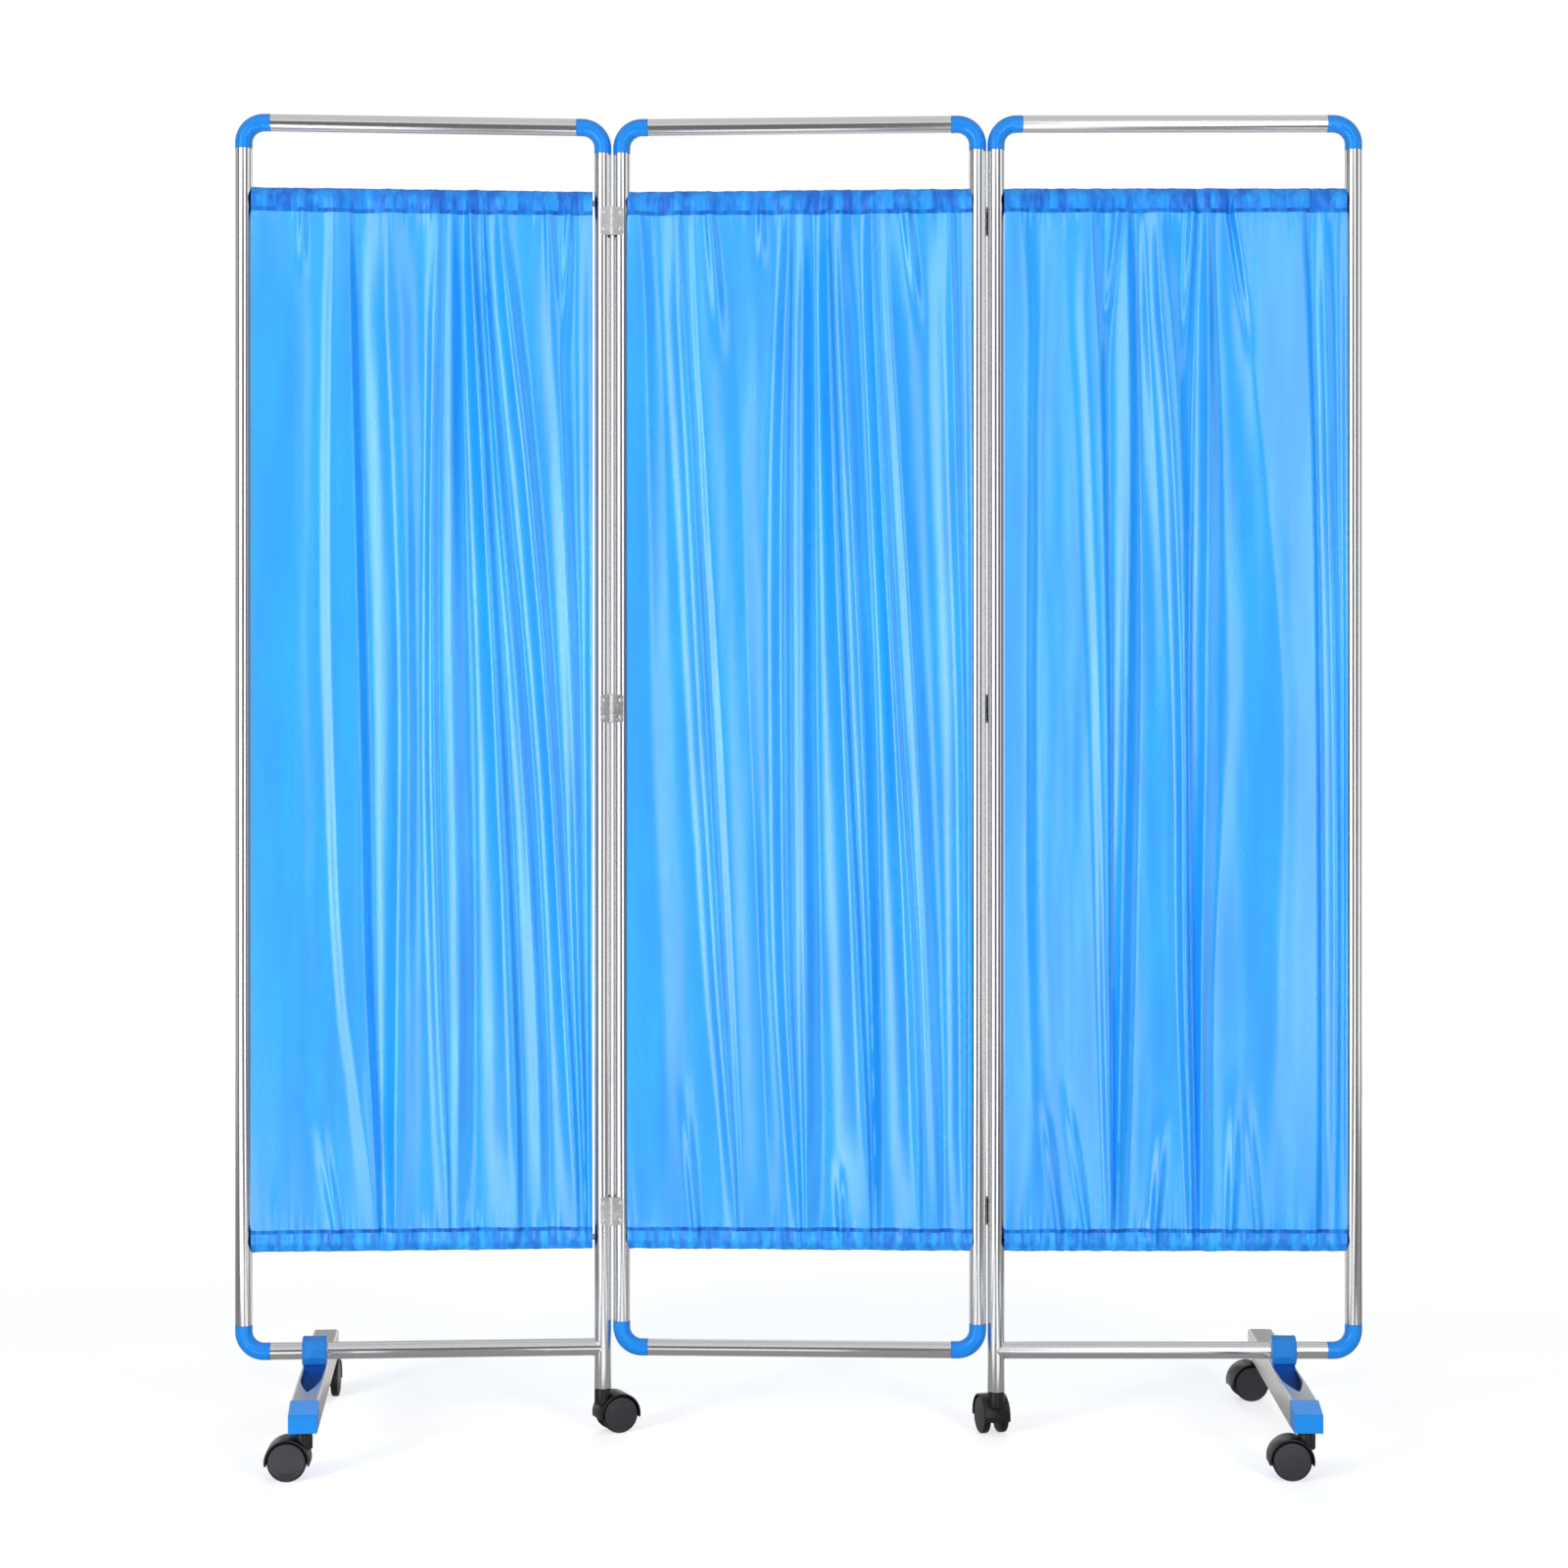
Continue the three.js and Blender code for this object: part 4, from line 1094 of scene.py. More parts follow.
@dataclass
class Hinge:
    """A butt hinge riveted to two posts that stand side by side."""

    name: str
    place: Place  # at the pin
    height: float
    fixed: int  # direction along X of the leaf on the middle panel
    posts: int  # direction along Y in which the posts lie
    wing: str
    leaf_width: float = 15.5
    leaf_height: float = 38.0
    leaf_corner: float = 3.0
    gauge: float = 1.5
    face_gap: float = 0.2
    knuckle: float = 2.8
    middle: float = 12.6  # height of the middle knuckle
    clearance: float = 0.3
    pin: float = 1.2
    pin_head: float = 2.0
    rivet: float = 2.6
    rivet_edge: float = 0.1
    rivet_rise: float = 0.34  # low enough for the leaves to close face to face
    rivet_spread: float = 0.3  # from the leaf's middle, as a share of its height
    post_axis: float = 12.25  # from the pin, along X

    @property
    def faces(self) -> Pair:
        """Where a leaf's two faces lie along Y, the one nearer to the pin's plane first."""
        return self.posts * self.face_gap, self.posts * (self.face_gap + self.gauge)

    def plate(self, form: Form, way: int) -> None:
        """A leaf with rounded free corners.

        Args:
            form: The surface to which it is added.
            way: Direction along X in which it lies from the pin.
        """
        half, corner = self.leaf_height / 2, self.leaf_corner
        start = self.leaf_width - corner
        outline = [(way * 2.0, -half), (way * start, -half)]
        for k in range(7):
            a = math.pi / 2 * k / 6
            outline.append((way * (start + corner * math.sin(a)), -half + corner * (1 - math.cos(a))))
        outline += [(x, -z) for x, z in reversed(outline)]
        form.slab(outline, *sorted(self.faces), "y")

    def rivets(self, form: Form, way: int) -> None:
        """The two low rivets of a leaf, on the post's axis.

        Args:
            form: The surface to which they are added.
            way: Direction along X in which the leaf lies from the pin.
        """
        head = [(self.rivet, 0.0), (self.rivet, self.rivet_edge)]
        head += [(self.rivet * math.cos(a), self.rivet_edge + self.rivet_rise * math.sin(a))
                 for a in [math.pi / 2 * k / 6 for k in range(1, 7)]]
        profile = [(r, -self.posts * h) for r, h in head]
        for share in (-self.rivet_spread, self.rivet_spread):
            at = (way * self.post_axis, self.faces[0], self.leaf_height * share)
            form.turned(profile, "y", at, 24)

    def barrel(self, form: Form, low: float, high: float) -> None:
        """Adds a rolled knuckle from low to high."""
        r = self.knuckle
        form.turned([(r - 0.5, low), (r, low + 0.4), (r, high - 0.4), (r - 0.5, high)], "z", (0, 0, 0), 28)

    def web(self, form: Form, way: int, low: float, high: float) -> None:
        """Adds the strip that joins a leaf to its knuckle, from low to high."""
        near, far = self.faces
        form.slab([(0.0, near), (way * 2.2, near), (way * 2.2, far), (0.0, far)], low, high, "z")

    def through(self, form: Form) -> None:
        """Adds the pin through the knuckles, with a head at each end.

        Args:
            form: The surface to which it is added.
        """
        end = self.leaf_height / 2
        upper = [(self.pin, end), (self.pin_head, end), (self.pin_head, end + 0.7), (0.8, end + 1.1)]
        form.turned([(r, -z) for r, z in reversed(upper)] + upper, "z", (0, 0, 0), 20)

    def build(self) -> None:
        """Makes both leaves, each with its knuckles and rivets."""
        half, end = self.middle / 2, self.leaf_height / 2
        gap = half + self.clearance
        here = self.place
        leaves = [("pin_leaf", "middle_panel", Place(here.x, here.y), self.fixed, [(-end, -gap), (gap, end)]),
                  ("bored_leaf", self.wing, here, -self.fixed, [(-half, half)])]
        for leaf, body, spot, way, knuckles in leaves:
            form = Form()
            self.plate(form, way)
            self.rivets(form, way)
            for low, high in knuckles:
                self.barrel(form, low, high)
                self.web(form, way, low, high)
            if leaf == "pin_leaf":
                self.through(form)
            form.corners = [(x, y, z + self.height) for x, y, z in form.corners]
            mark = Mark(f"{self.name}_{leaf}_plated", body, "bright_steel", (f"{self.name}_{leaf}",))
            set_down(form, mark, spot, [HINGE_PLATE], bevel=0.25)


# ---- feet


@dataclass
class Foot:
    """A channel under a wing's bottom rail, with a cap in front, a plug behind and a clamp on the rail."""

    side: Side
    place: Place
    half_length: float = 237.0
    width: float = 36.0
    low: float = 61.0
    depth: float = 35.0
    wall: float = 2.0
    corner: float = 4.0
    play: float = 0.3  # between the channel and the mouldings in its ends
    cap_length: float = 40.0
    nose_drop: float = 10.0
    chin: float = 1.5  # of cap and plug above the channel's lower edges
    plug_length: float = 40.0
    rib: float = 2.5
    stem: float = 22.0  # from the foot's end to the castor's stem
    rail: float = 117.0
    clamp_radius: float = 20.7
    clamp_width: float = 33.0
    facets: int = 11
    tongue_depth: float = 27.6
    slot_half: float = 13.4
    slot_rear: float = 25.0
    slot_straight: float = 75.0
    slot_tip: float = 153.0

    @property
    def top(self) -> float:
        """Height of the channel's web."""
        return self.low + self.depth

    def put(self, form: Form, what: str, slot: str, node: str, finishes: list[Finish], bevel: float,
            crease: float) -> bpy.types.Object:
        """Sets down one of the foot's pieces on its wing, in place of a node. See set_down."""
        mark = Mark(f"{self.side.word}_{what}", f"{self.side.word}_wing", slot, (f"{self.side.word}_{node}",))
        return set_down(form, mark, self.place, finishes, bevel, crease)

    def section(self, inset: float) -> list[Pair]:
        """The right half of the channel's section.

        Args:
            inset: How far inside the channel's outer face it lies.

        Returns:
            Points (x, z) from the lower edge up and round the corner.
        """
        r, side = self.corner - inset, self.width / 2 - inset
        return [(side, self.low), *[(side - r + r * math.cos(a), self.top - inset - r + r * math.sin(a))
                                    for a in [math.pi / 2 * k / 6 for k in range(7)]]]

    def channel(self) -> None:
        """The pressed channel, with the slot that the clamp's tongue shows in."""
        outer, inner = self.section(0.0), self.section(self.wall)
        outside = outer + [(-x, z) for x, z in reversed(outer)]
        inside = inner + [(-x, z) for x, z in reversed(inner)]
        form = Form().slab(outside + inside[::-1], -self.half_length + self.cap_length + self.play,
                           self.half_length, "y")
        pressing = self.put(form, "foot_pressing", "bright_steel", "foot_channel", [PLATE], 0.0, 30)
        self.cut(pressing)
        ease_edges(pressing, 0.4, 40, segments=2)

    def cut(self, pressing: bpy.types.Object) -> None:
        """Cuts the slot out of the pressing's web.

        Args:
            pressing: The channel, which gets a new mesh.
        """
        steps, run = 12, self.slot_tip - self.slot_straight
        tip = [(self.slot_half * (1 - (k / steps) ** 1.7), -self.slot_straight - run * k / steps)
               for k in range(steps)]
        outline = [(self.slot_half, self.slot_rear), *tip, (0.0, -self.slot_tip),
                   *[(-x, y) for x, y in reversed(tip)], (-self.slot_half, self.slot_rear)]
        cutter = stand("slot", Form().slab(outline, self.top - 6, self.top + 6, "z").mesh("slot"))
        cutter.matrix_world = pressing.matrix_world
        punch = pressing.modifiers.new("punch", "BOOLEAN")
        punch.object, punch.operation, punch.solver = cutter, "DIFFERENCE", "EXACT"
        bpy.context.view_layer.update()
        shaped = pressing.evaluated_get(bpy.context.evaluated_depsgraph_get())
        mesh = bpy.data.meshes.new_from_object(shaped)
        pressing.modifiers.clear()
        pressing.data = mesh
        bpy.data.objects.remove(cutter)

    def cap(self) -> None:
        """The moulded cap in front, its top painted paler than its sides as painted light from above, drawn
        down to a blunt nose.
        """
        rear, nose = -self.half_length + self.cap_length, -self.half_length
        half, low = self.width / 2 + 0.4, self.low + self.chin
        high = self.top + self.play
        tip = high - self.nose_drop
        form = Form()
        form.skin = 1
        form.slab([(rear, low), (rear, high), (rear - 1.0, high), (nose + 1.6, tip), (nose, tip - 1.4),
                   (nose, low)], -half, half, "x")
        # the faces on top take the paler finish: painted light on the cap's top
        for i, corners in enumerate(form.faces):
            if len(corners) == 4 and min(form.corners[c][2] for c in corners) > tip - 0.5:
                form.skins[i] = 0
        self.put(form, "front_cap_moulding", "blue_plastic", "front_foot_cap", [CAP_PAINTED_LIT_TOP, CAP_BLUE], 1.1, 25)

    def plug(self) -> None:
        """The block inside the channel's rear end: a ribbed tray round the socket of the castor's stem."""
        rear, front = self.half_length, self.half_length - self.plug_length
        half, low = self.width / 2 - self.wall - self.play, self.low + self.chin
        high, stem = self.top - self.wall - self.play, rear - self.stem
        wide, long, tall = (-half, half), (front, rear), (low, high)
        form = Form().box(wide, long, (high - 3, high))
        for y in (rear - self.rib, front):
            form.box(wide, (y, y + self.rib), tall)
        for x in (-half, half - self.rib):
            form.box((x, x + self.rib), long, tall)
        form.turned([(5.3, low), (8.3, low), (8.6, low + 0.4), (8.6, high - 1)], "z", (0.0, stem, 0.0), 32)
        form.box(wide, (stem - 1, stem + 1), (low + 3, high))
        self.put(form, "rear_plug_moulding", "black_plastic", "rear_foot_plug", [HOOD_BLACK], 0.4, 30)

    def grip(self, form: Form) -> None:
        """Adds the faceted ring round the rail, with a low collar near each end.

        Args:
            form: The clamp's surface.
        """
        half, radius, steps = self.clamp_width / 2, self.clamp_radius, 6
        rings = []
        for x, draw in ((-half, 1.0), (-half + 0.8, 0.2), (-half + 2, 0.0), (half - 2, 0.0),
                        (half - 0.8, 0.2), (half, 1.0)):
            ring = []
            for k in range(self.facets * steps):
                a = 2 * math.pi * k / (self.facets * steps)
                off = (k % steps - 3) / 3 * math.pi / self.facets
                r = (radius - draw) * math.cos(math.pi / self.facets) / math.cos(off)
                ring.append((x, r * math.cos(a), self.rail + r * math.sin(a)))
            rings.append(ring)
        form.loft(rings)
        for x in (-half + 2.2, half - 2.2):
            form.turned([(radius - 0.4, x - 0.7), (radius + 0.15, x - 0.4), (radius + 0.15, x + 0.4),
                         (radius - 0.4, x + 0.7)], "x", (0, 0, self.rail), 96)

    def tongue(self, form: Form) -> None:
        """Adds the tongue that slopes forward into the slot, and the block that it hangs from.

        Args:
            form: The clamp's surface.
        """
        neck, start, slope = self.slot_half + 1.3, -14.0, 0.5
        plan = [(-neck, -4.0), (-neck, start)]
        plan += [(-neck * (1 - share * 0.9), y) for share, y in (
            (0.0, -24.0), (0.02, -36.0), (0.07, -44.0), (0.17, -50.0), (0.32, -54.5), (0.55, -58.0))]
        plan += [(-2.2, -60.0)]
        tops = [self.top + 10.0, self.top + 0.6]
        tops += [self.top - (start - y) * slope for _, y in plan[2:]]
        low = self.top - self.tongue_depth
        under = [(x, y, low) for x, y in plan] + [(-x, y, low) for x, y in reversed(plan)]
        over = [(x, y, z) for (x, y), z in zip(plan, tops)]
        over += [(-x, y, z) for x, y, z in reversed(over)]
        form.loft([under, over])
        inner = self.slot_half - 0.6
        form.box((-inner, inner), (-6.0, 19.6), (low, self.top + 4))

    def clamp(self) -> None:
        """The clamp on the rail, its grip in the clamp plastic and its tongue in a copy painted darker as
        painted shade in the slot.
        """
        form = Form()
        self.grip(form)
        # the tongue's faces take the darker finish: painted shade in the slot
        form.skin = 1
        self.tongue(form)
        self.put(form, "clamp_moulding", "blue_plastic", "rail_clamp", [CLAMP_BLUE, TONGUE_PAINTED_SHADE], 0.5, 20)

    def build(self) -> None:
        """Makes the channel, the cap, the plug and the clamp."""
        self.channel()
        self.cap()
        self.plug()
        self.clamp()


# ---- castors


@dataclass
class Castor:
    """A twin-wheel castor with a moulded hood. Its frame stands at the swivel, trailing along X."""

    name: str
    place: Place
    trail: float = 20.0
    radius: float = 25.0
    inner_face: float = 7.5
    outer_face: float = 18.0
    axle: float = 3.0
    axle_half: float = 8.0
    shroud_inner: float = 26.5
    shroud_outer: float = 29.0
    shroud_half: float = 18.5
    web_half: float = 6.0
    dip: float = math.radians(10)  # of the shroud's ends below the axle
    height: float = 60.5
    neck: float = 11.5
    neck_height: float = 22.0
    stem: float = 5.0
    stem_length: float = 18.0

    def arc(self, radius: float, inset: float) -> list[Pair]:
        """An arc about the axle, over the wheels.

        Args:
            radius: Its radius.
            inset: How far its ends are drawn in.

        Returns:
            Points (x, z), from the end towards +X to the other.
        """
        low, high = -self.dip + inset / radius, math.pi + self.dip - inset / radius
        return [(self.trail + radius * math.cos(a), self.radius + radius * math.sin(a))
                for a in [low + (high - low) * k / 44 for k in range(45)]]

    def hood(self) -> None:
        """The shroud over both wheels, the web between them, the neck and the stem."""
        half, near, far = self.shroud_half, self.shroud_inner, self.shroud_outer
        edge = [(near, 0.4), (near + 0.4, 0.0), (far - 1.4, 0.0), (far - 0.4, 0.5), (far, 1.6)]
        section = [(r, -half + y) for r, y in edge] + [(r, half - y) for r, y in reversed(edge)]
        rings, steps = [], 48
        for k in range(steps + 1):
            a = -self.dip + (math.pi + 2 * self.dip) * k / steps
            rings.append([(self.trail + r * math.cos(a), y, self.radius + r * math.sin(a))
                          for r, y in section])
        form = Form().loft(rings)
        form.slab(self.arc(near + 0.8, 0.6), -self.web_half, self.web_half, "y")
        top, r = self.height, self.neck
        form.turned([(r - 1, top - self.neck_height), (r, top - self.neck_height + 1), (r, top - 1.4),
                     (r - 0.5, top - 0.4), (r - 1.5, top), (self.stem + 0.6, top)], "z", (0, 0, 0), 48)
        form.turned([(self.stem, top - 1), (self.stem, top + self.stem_length - 1),
                     (self.stem - 0.8, top + self.stem_length)], "z", (0, 0, 0), 24)
        mark = Mark(f"{self.name}_castor_hood_moulding", f"{self.name}_hood", "black_plastic",
                    (f"{self.name}_castor_hood",))
        set_down(form, mark, self.place, [HOOD_BLACK], crease=32)

    def wheels(self) -> None:
        """Both wheels with their slightly domed faces, and the axle."""
        r, face, inner = self.radius, self.outer_face, self.inner_face
        at = (self.trail, 0, r)
        tread = [(0.1, inner), (r - 3, inner), (r - 1, inner + 0.6), (r, inner + 2.2), (r, face - 2.4),
                 (r - 0.5, face - 1.1), (r - 1.3, face - 0.5), (r - 1.7, face - 0.9)]
        disc = [(r - 1.7, face - 0.9), (r - 2.3, face - 0.7), (r - 6.8, face - 0.36),
                (r - 7.1, face - 0.42), (r - 7.4, face - 0.32), (r - 14, face - 0.1), (0.1, face)]
        form = Form()
        for way in (-1, 1):
            for skin, profile in enumerate((tread, disc)):
                form.skin = skin
                form.turned([(p, way * q) for p, q in profile], "y", at, 72)
        form.skin = 0
        form.turned([(self.axle, -self.axle_half), (self.axle, self.axle_half)], "y", at, 24)
        mark = Mark(f"{self.name}_castor_twin_wheels", f"{self.name}_wheels", "grey_wheels",
                    (f"{self.name}_castor_wheels",))
        set_down(form, mark, self.place, [WHEEL_BLACK, FACE_GREY], crease=32)

    def build(self) -> None:
        """Makes the hood and the wheels."""
        self.hood()
        self.wheels()


# ---- studio


@dataclass
class Studio:
    """A pale floor, soft lamps, boards for the metal to mirror, and the photograph's camera."""

    middle: Place
    eye: Point = (128.95, -3576.9, 900.5)  # from the middle of the middle panel's foot, in millimetres
    turn: float = math.radians(2.397)
    focal: float = 2672.2  # in the photograph's pixels
    frame_width: float = 1601.0
    horizon: float = 791.7  # the row of pixels at the eye's height
    sensor: float = 36.0
    aim: Point = (0.0, 0.0, 0.9)  # where the lamps point, in metres
    ambient: float = 0.16
    floor_size: float = 30000.0
    floor_glow: float = 0.6  # near the screen
    horizon_glow: float = 0.92
    ground: float = 3.0  # height of the boards that lie on the floor
    reach: float = 4000.0  # to which they run out
    strip_depth: float = 280.0  # half the depth of the board under the screen

    def camera(self) -> None:
        """The camera, level, at the photograph's viewing angle."""
        data = bpy.data.cameras.new("camera")
        data.sensor_width = self.sensor
        data.lens = self.focal / self.frame_width * data.sensor_width
        data.shift_y = (self.horizon - self.frame_width / 2) / self.frame_width
        camera = stand("camera", data)
        spot = self.middle.step(self.eye[0], self.eye[1])
        camera.location = (spot.x * MM, spot.y * MM, self.eye[2] * MM)
        camera.rotation_euler = (math.pi / 2, 0.0, self.turn)
        bpy.context.scene.camera = camera

    def lamp(self, name: str, at: Point, size: Pair, power: float) -> None:
        """A rectangular soft lamp that faces the screen's middle. Shiny pieces mirror the boards instead.

        Args:
            name: The lamp's name.
            at: Its place in metres.
            size: Its width and height in metres.
            power: Its power in watts.
        """
        data = bpy.data.lights.new(name, "AREA")
        data.shape, data.energy = "RECTANGLE", power
        data.size, data.size_y = size
        lamp = stand(name, data)
        lamp.location = at
        lamp.rotation_euler = (Vector(self.aim) - Vector(at)).to_track_quat("-Z", "Y").to_euler()
        lamp.visible_glossy = False

    def board(self, name: str, tint: str, rings: list[list[Point]], strength: float) -> None:
        """A board that only shiny pieces mirror, and that gives the tubes their streaks.

        Args:
            name: The board's name.
            tint: Its grey as a hex code.
            rings: Its rows of points.
            strength: How bright it shines.
        """
        grey = bpy.data.materials.new(name)
        tree = bare_tree(grey)
        glow = add_node(tree, "ShaderNodeEmission", {"Color": linear(tint), "Strength": strength})
        add_node(tree, "ShaderNodeOutputMaterial", links={"Surface": glow.outputs[0]})
        mesh = Form().loft(rings, closed=False, capped=False).mesh(name)
        mesh.materials.append(grey)
        board = stand(name, mesh)
        for ray in ("camera", "diffuse", "shadow", "transmission", "volume_scatter"):
            setattr(board, f"visible_{ray}", False)

    def wall(self, name: str, tint: str, start: float, end: float, strength: float = 1.0,
             top: float = 4200.0) -> None:
        """A curved upright board with a foot on the floor, for the lower tubes.

        Args:
            name: The board's name.
            tint: Its grey as a hex code.
            start: Where it starts, in degrees from the front towards +X.
            end: Where it ends, in the same way.
            strength: How bright it shines.
            top: Height of its upper edge.
        """
        steps, near, far, low = 24, 1300, 5200, 6.0
        angles = [math.radians(start + (end - start) * k / steps) for k in range(steps + 1)]
        self.board(name, tint, [[(reach * math.sin(a), -reach * math.cos(a), z) for a in angles]
                                for reach, z in ((near, low), (far, low), (far, top))], strength)

    def strip(self, name: str, tint: str, z: float, x: Pair, y: Pair, strength: float = 1.0) -> None:
        """A level board between two x and two y."""
        self.board(name, tint, [[(x[0], level, z), (x[1], level, z)] for level in y], strength)

    def seen(self, tree: bpy.types.NodeTree) -> tuple[bpy.types.Node, bpy.types.Node]:
        """Tells the camera's rays and mirrored ones from those that only carry light.

        Args:
            tree: The node tree.

        Returns:
            The light path, and the node that gives 1 where a ray is one of the first two.
        """
        path = add_node(tree, "ShaderNodeLightPath")
        return path, add_node(tree, "ShaderNodeMath", {"operation": "MAXIMUM"},
                              {0: path.outputs["Is Camera Ray"], 1: path.outputs["Is Glossy Ray"]})

    def floor(self) -> None:
        """A pale floor that keeps the object's shadow and runs out to white."""
        tint = bpy.data.materials.new("pale floor")
        tree = bare_tree(tint)
        spot = add_node(tree, "ShaderNodeTexCoord").outputs["Object"]
        speck = add_node(tree, "ShaderNodeTexNoise", {"Scale": 3.0, "Detail": 2.0}, {"Vector": spot})
        tone = add_node(tree, "ShaderNodeMix", {"data_type": "RGBA", 6: (0.72, 0.72, 0.72, 1),
                                                7: (0.76, 0.76, 0.76, 1)}, {0: speck.outputs["Fac"]})
        matt = add_node(tree, "ShaderNodeBsdfDiffuse", links={"Color": tone.outputs[2]})
        away = add_node(tree, "ShaderNodeVectorMath", {"operation": "LENGTH"}, {0: spot})
        rise = add_node(tree, "ShaderNodeMapRange", {"From Min": 1.4, "From Max": 5.0,
                                                     "To Min": self.floor_glow, "To Max": self.horizon_glow},
                        {"Value": away.outputs["Value"]})
        glow = add_node(tree, "ShaderNodeEmission", {"Color": (1, 1, 1, 1)}, {"Strength": rise.outputs[0]})
        _, seen = self.seen(tree)
        none = add_node(tree, "ShaderNodeEmission", {"Strength": 0.0})
        lit = add_node(tree, "ShaderNodeMixShader", {},
                       {0: seen.outputs[0], 1: none.outputs[0], 2: glow.outputs[0]})
        both = add_node(tree, "ShaderNodeAddShader", {}, {0: matt.outputs[0], 1: lit.outputs[0]})
        add_node(tree, "ShaderNodeOutputMaterial", links={"Surface": both.outputs[0]})
        size = self.floor_size
        rings = [[(-size, y, 0), (size, y, 0)] for y in (-size, size)]
        mesh = Form().loft(rings, closed=False, capped=False).mesh("floor")
        mesh.materials.append(tint)
        floor = stand("floor", mesh)

    def surround(self) -> None:
        """Even light from all round, and white behind the object, also in metal."""
        world = bpy.data.worlds.new("surround")
        bpy.context.scene.world = world
        tree = bare_tree(world)
        path, seen = self.seen(tree)
        through = add_node(tree, "ShaderNodeMath", {"operation": "MAXIMUM"},
                           {0: seen.outputs[0], 1: path.outputs["Is Transmission Ray"]})
        soft = add_node(tree, "ShaderNodeBackground", {"Color": (1, 1, 1, 1), "Strength": self.ambient})
        white = add_node(tree, "ShaderNodeBackground", {"Color": (1, 1, 1, 1), "Strength": 1.0})
        both = add_node(tree, "ShaderNodeMixShader", {},
                        {0: through.outputs[0], 1: soft.outputs[0], 2: white.outputs[0]})
        add_node(tree, "ShaderNodeOutputWorld", links={"Surface": both.outputs[0]})

    def build(self) -> None:
        """Sets up the studio."""
        bpy.context.scene.view_settings.view_transform = "Standard"
        self.floor()
        self.surround()
        self.camera()
        self.lamp("key lamp", (-2.4, -3.0, 1.0), (0.8, 1.8), 92)
        self.lamp("fill lamp", (2.0, -3.4, 1.0), (0.8, 1.8), 84)
        self.lamp("top lamp", (0.2, -0.8, 3.4), (3.0, 1.4), 9)
        self.lamp("rear lamp", (0.3, 3.7, 1.7), (2.4, 2.0), 66)
        self.wall("key board", "#FFFFFF", -50, -22, 2.2)
        self.wall("left front board", "#7A7876", -84, -56)
        self.wall("front board", "#6E6C6A", -19, 9, top=2950)
        self.wall("fill board", "#FFFFFF", 13, 27, 2.0)
        self.wall("right front board", "#6E6C6A", 30, 58)
        self.wall("right board", "#858381", 96, 124)
        self.wall("left board", "#858381", -124, -96)
        self.wall("right rear board", "#A3A19F", 158, 174)
        self.wall("left rear board", "#A3A19F", -172, -150)
        reach, depth = self.reach, self.strip_depth
        self.strip("ceiling board", "#DAD8D6", 3500, (-reach, reach), (-reach, reach))
        self.strip("rear ground", "#DBD9D7", self.ground, (-reach, reach), (depth, reach))
        self.strip("near ground", "#9C9A98", self.ground, (-reach, reach), (-depth, depth))
        edges = (-reach, -1180, -900, -560, -330, 60, 330, 640, 980, 1220, reach)
        for k, (start, end) in enumerate(zip(edges, edges[1:])):  # white and grey by turns
            self.strip(f"ground strip {k}", ("#FFFFFF", "#9C9A98")[k % 2], self.ground, (start, end),
                       (-reach, -depth), (1.3, 1.0)[k % 2])


# ---- the screen


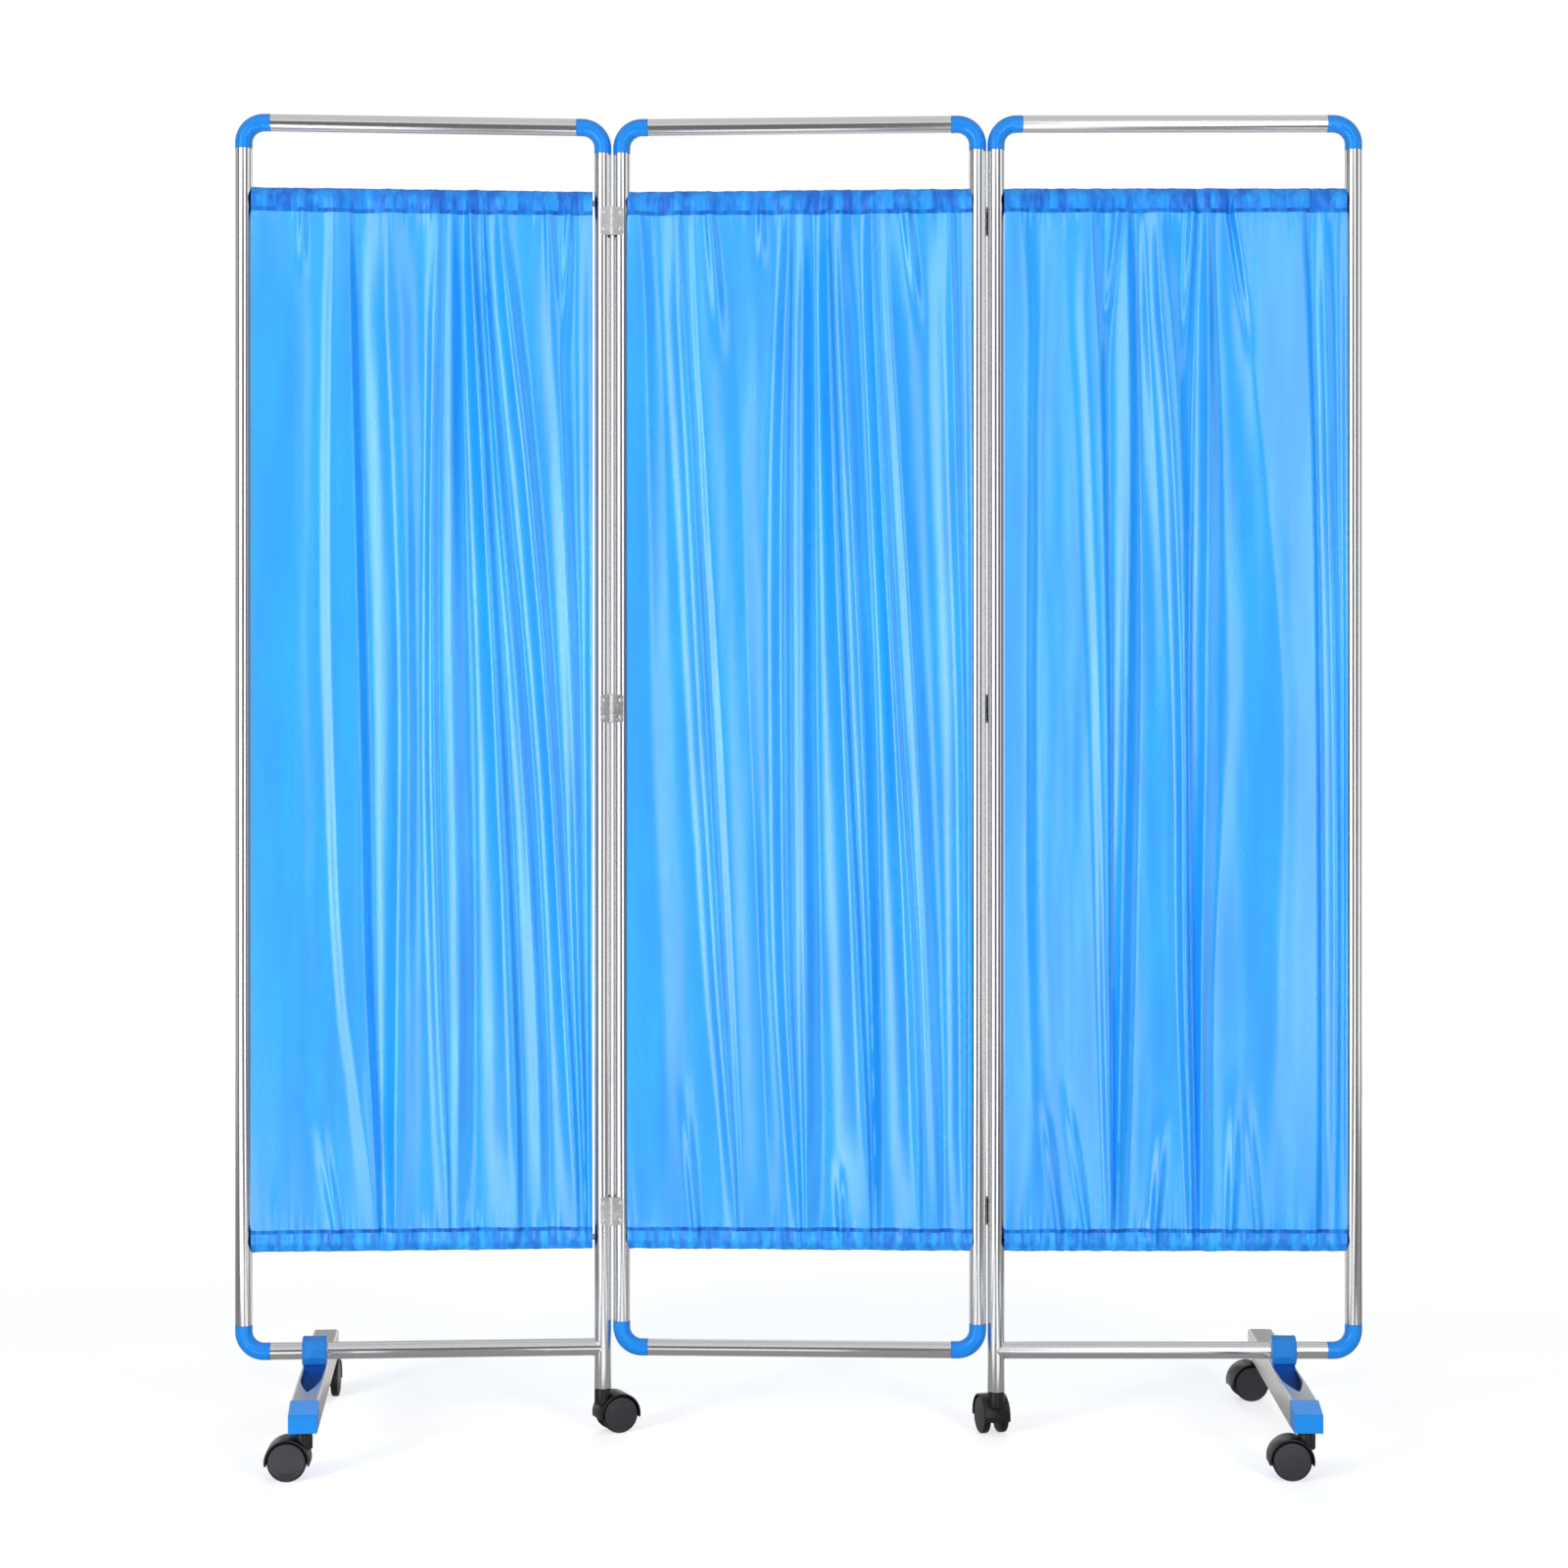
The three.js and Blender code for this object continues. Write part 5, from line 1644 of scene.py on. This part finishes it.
@dataclass
class Screen:
    """The whole screen, placed by the joints of the frame."""

    left_fold: float = math.radians(6.0)  # in the photograph
    right_fold: float = math.radians(2.2)
    pin_to_post: float = 12.25
    pin_to_plane: float = 13.5
    spacing: float = 487.0
    foot_inset: float = 96.0  # from a wing's outer post to its foot
    foot_toe: float = math.radians(2.7)
    hinge_heights: dict[str, float] = field(
        default_factory=lambda: {"top": 1658.5, "middle": 992.0, "bottom": 305.0})

    def __post_init__(self) -> None:
        """Reads where the joints stand."""
        self.joints = {j["name"]: j for j in frame["joints"]}

    def pin(self, side: Side) -> Place:
        """Where a wing's hinge pins stand, turned as the wing is."""
        x, y, _ = self.joints[f"{side.word}_fold"]["pos_m"]
        return Place(x / MM, y / MM, self.left_fold if side is Side.LEFT else self.right_fold)

    def middle(self) -> Place:
        """The middle of the middle panel."""
        left, right = self.pin(Side.LEFT), self.pin(Side.RIGHT)
        return Place((left.x + right.x) / 2, left.y + self.pin_to_plane)

    def wing(self, side: Side) -> Place:
        """The middle of a wing's panel."""
        across = side.value * (self.pin_to_post + self.spacing / 2)
        return self.pin(side).step(across, -side.value * self.pin_to_plane)

    def castors(self) -> list[Castor]:
        """Finds the castors among the frame's joints.

        Returns:
            Every castor, turned as its axle says.
        """
        found = []
        for name, joint in self.joints.items():
            if name.endswith("_swivel"):
                word = name.removesuffix("_swivel")
                axle = self.joints[f"{word}_roll"]["axis"]
                x, y, _ = joint["pos_m"]
                found.append(Castor(word, Place(x / MM, y / MM, math.atan2(-axle[0], axle[1]))))
        return found

    def build(self) -> None:
        """Builds every sub-assembly in order."""
        half = self.spacing / 2
        middle = Panel("middle", "middle_panel", self.middle())
        left = Panel("left", "left_wing", self.wing(Side.LEFT), inner=half)
        right = Panel("right", "right_wing", self.wing(Side.RIGHT), inner=-half)
        for panel in (middle, left, right):
            panel.build()
        Curtain(middle, MIDDLE_LANES, MIDDLE_FLARES, seed=3.7, width=471.0, shift=0.5).build()
        Curtain(left, LEFT_LANES, LEFT_FLARES, seed=1.3, width=462.0, shift=-1.5).build()
        Curtain(right, RIGHT_LANES, RIGHT_FLARES, seed=8.9).build()
        for side in Side:
            for level, height in self.hinge_heights.items():
                Hinge(f"{side.word}_{level}_hinge", self.pin(side), height, -side.value, -side.value,
                      f"{side.word}_wing").build()
            spot = self.wing(side).step(side.value * (half - self.foot_inset), 0.0,
                                        -side.value * self.foot_toe)
            Foot(side, spot).build()
        for castor in self.castors():
            castor.build()


def main() -> None:
    """Builds the screen and its studio."""
    logging.basicConfig(level=logging.INFO, format="%(name)s: %(message)s")
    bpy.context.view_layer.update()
    screen = Screen()
    Studio(screen.middle()).build()
    screen.build()


if __name__ == "__main__":
    main()
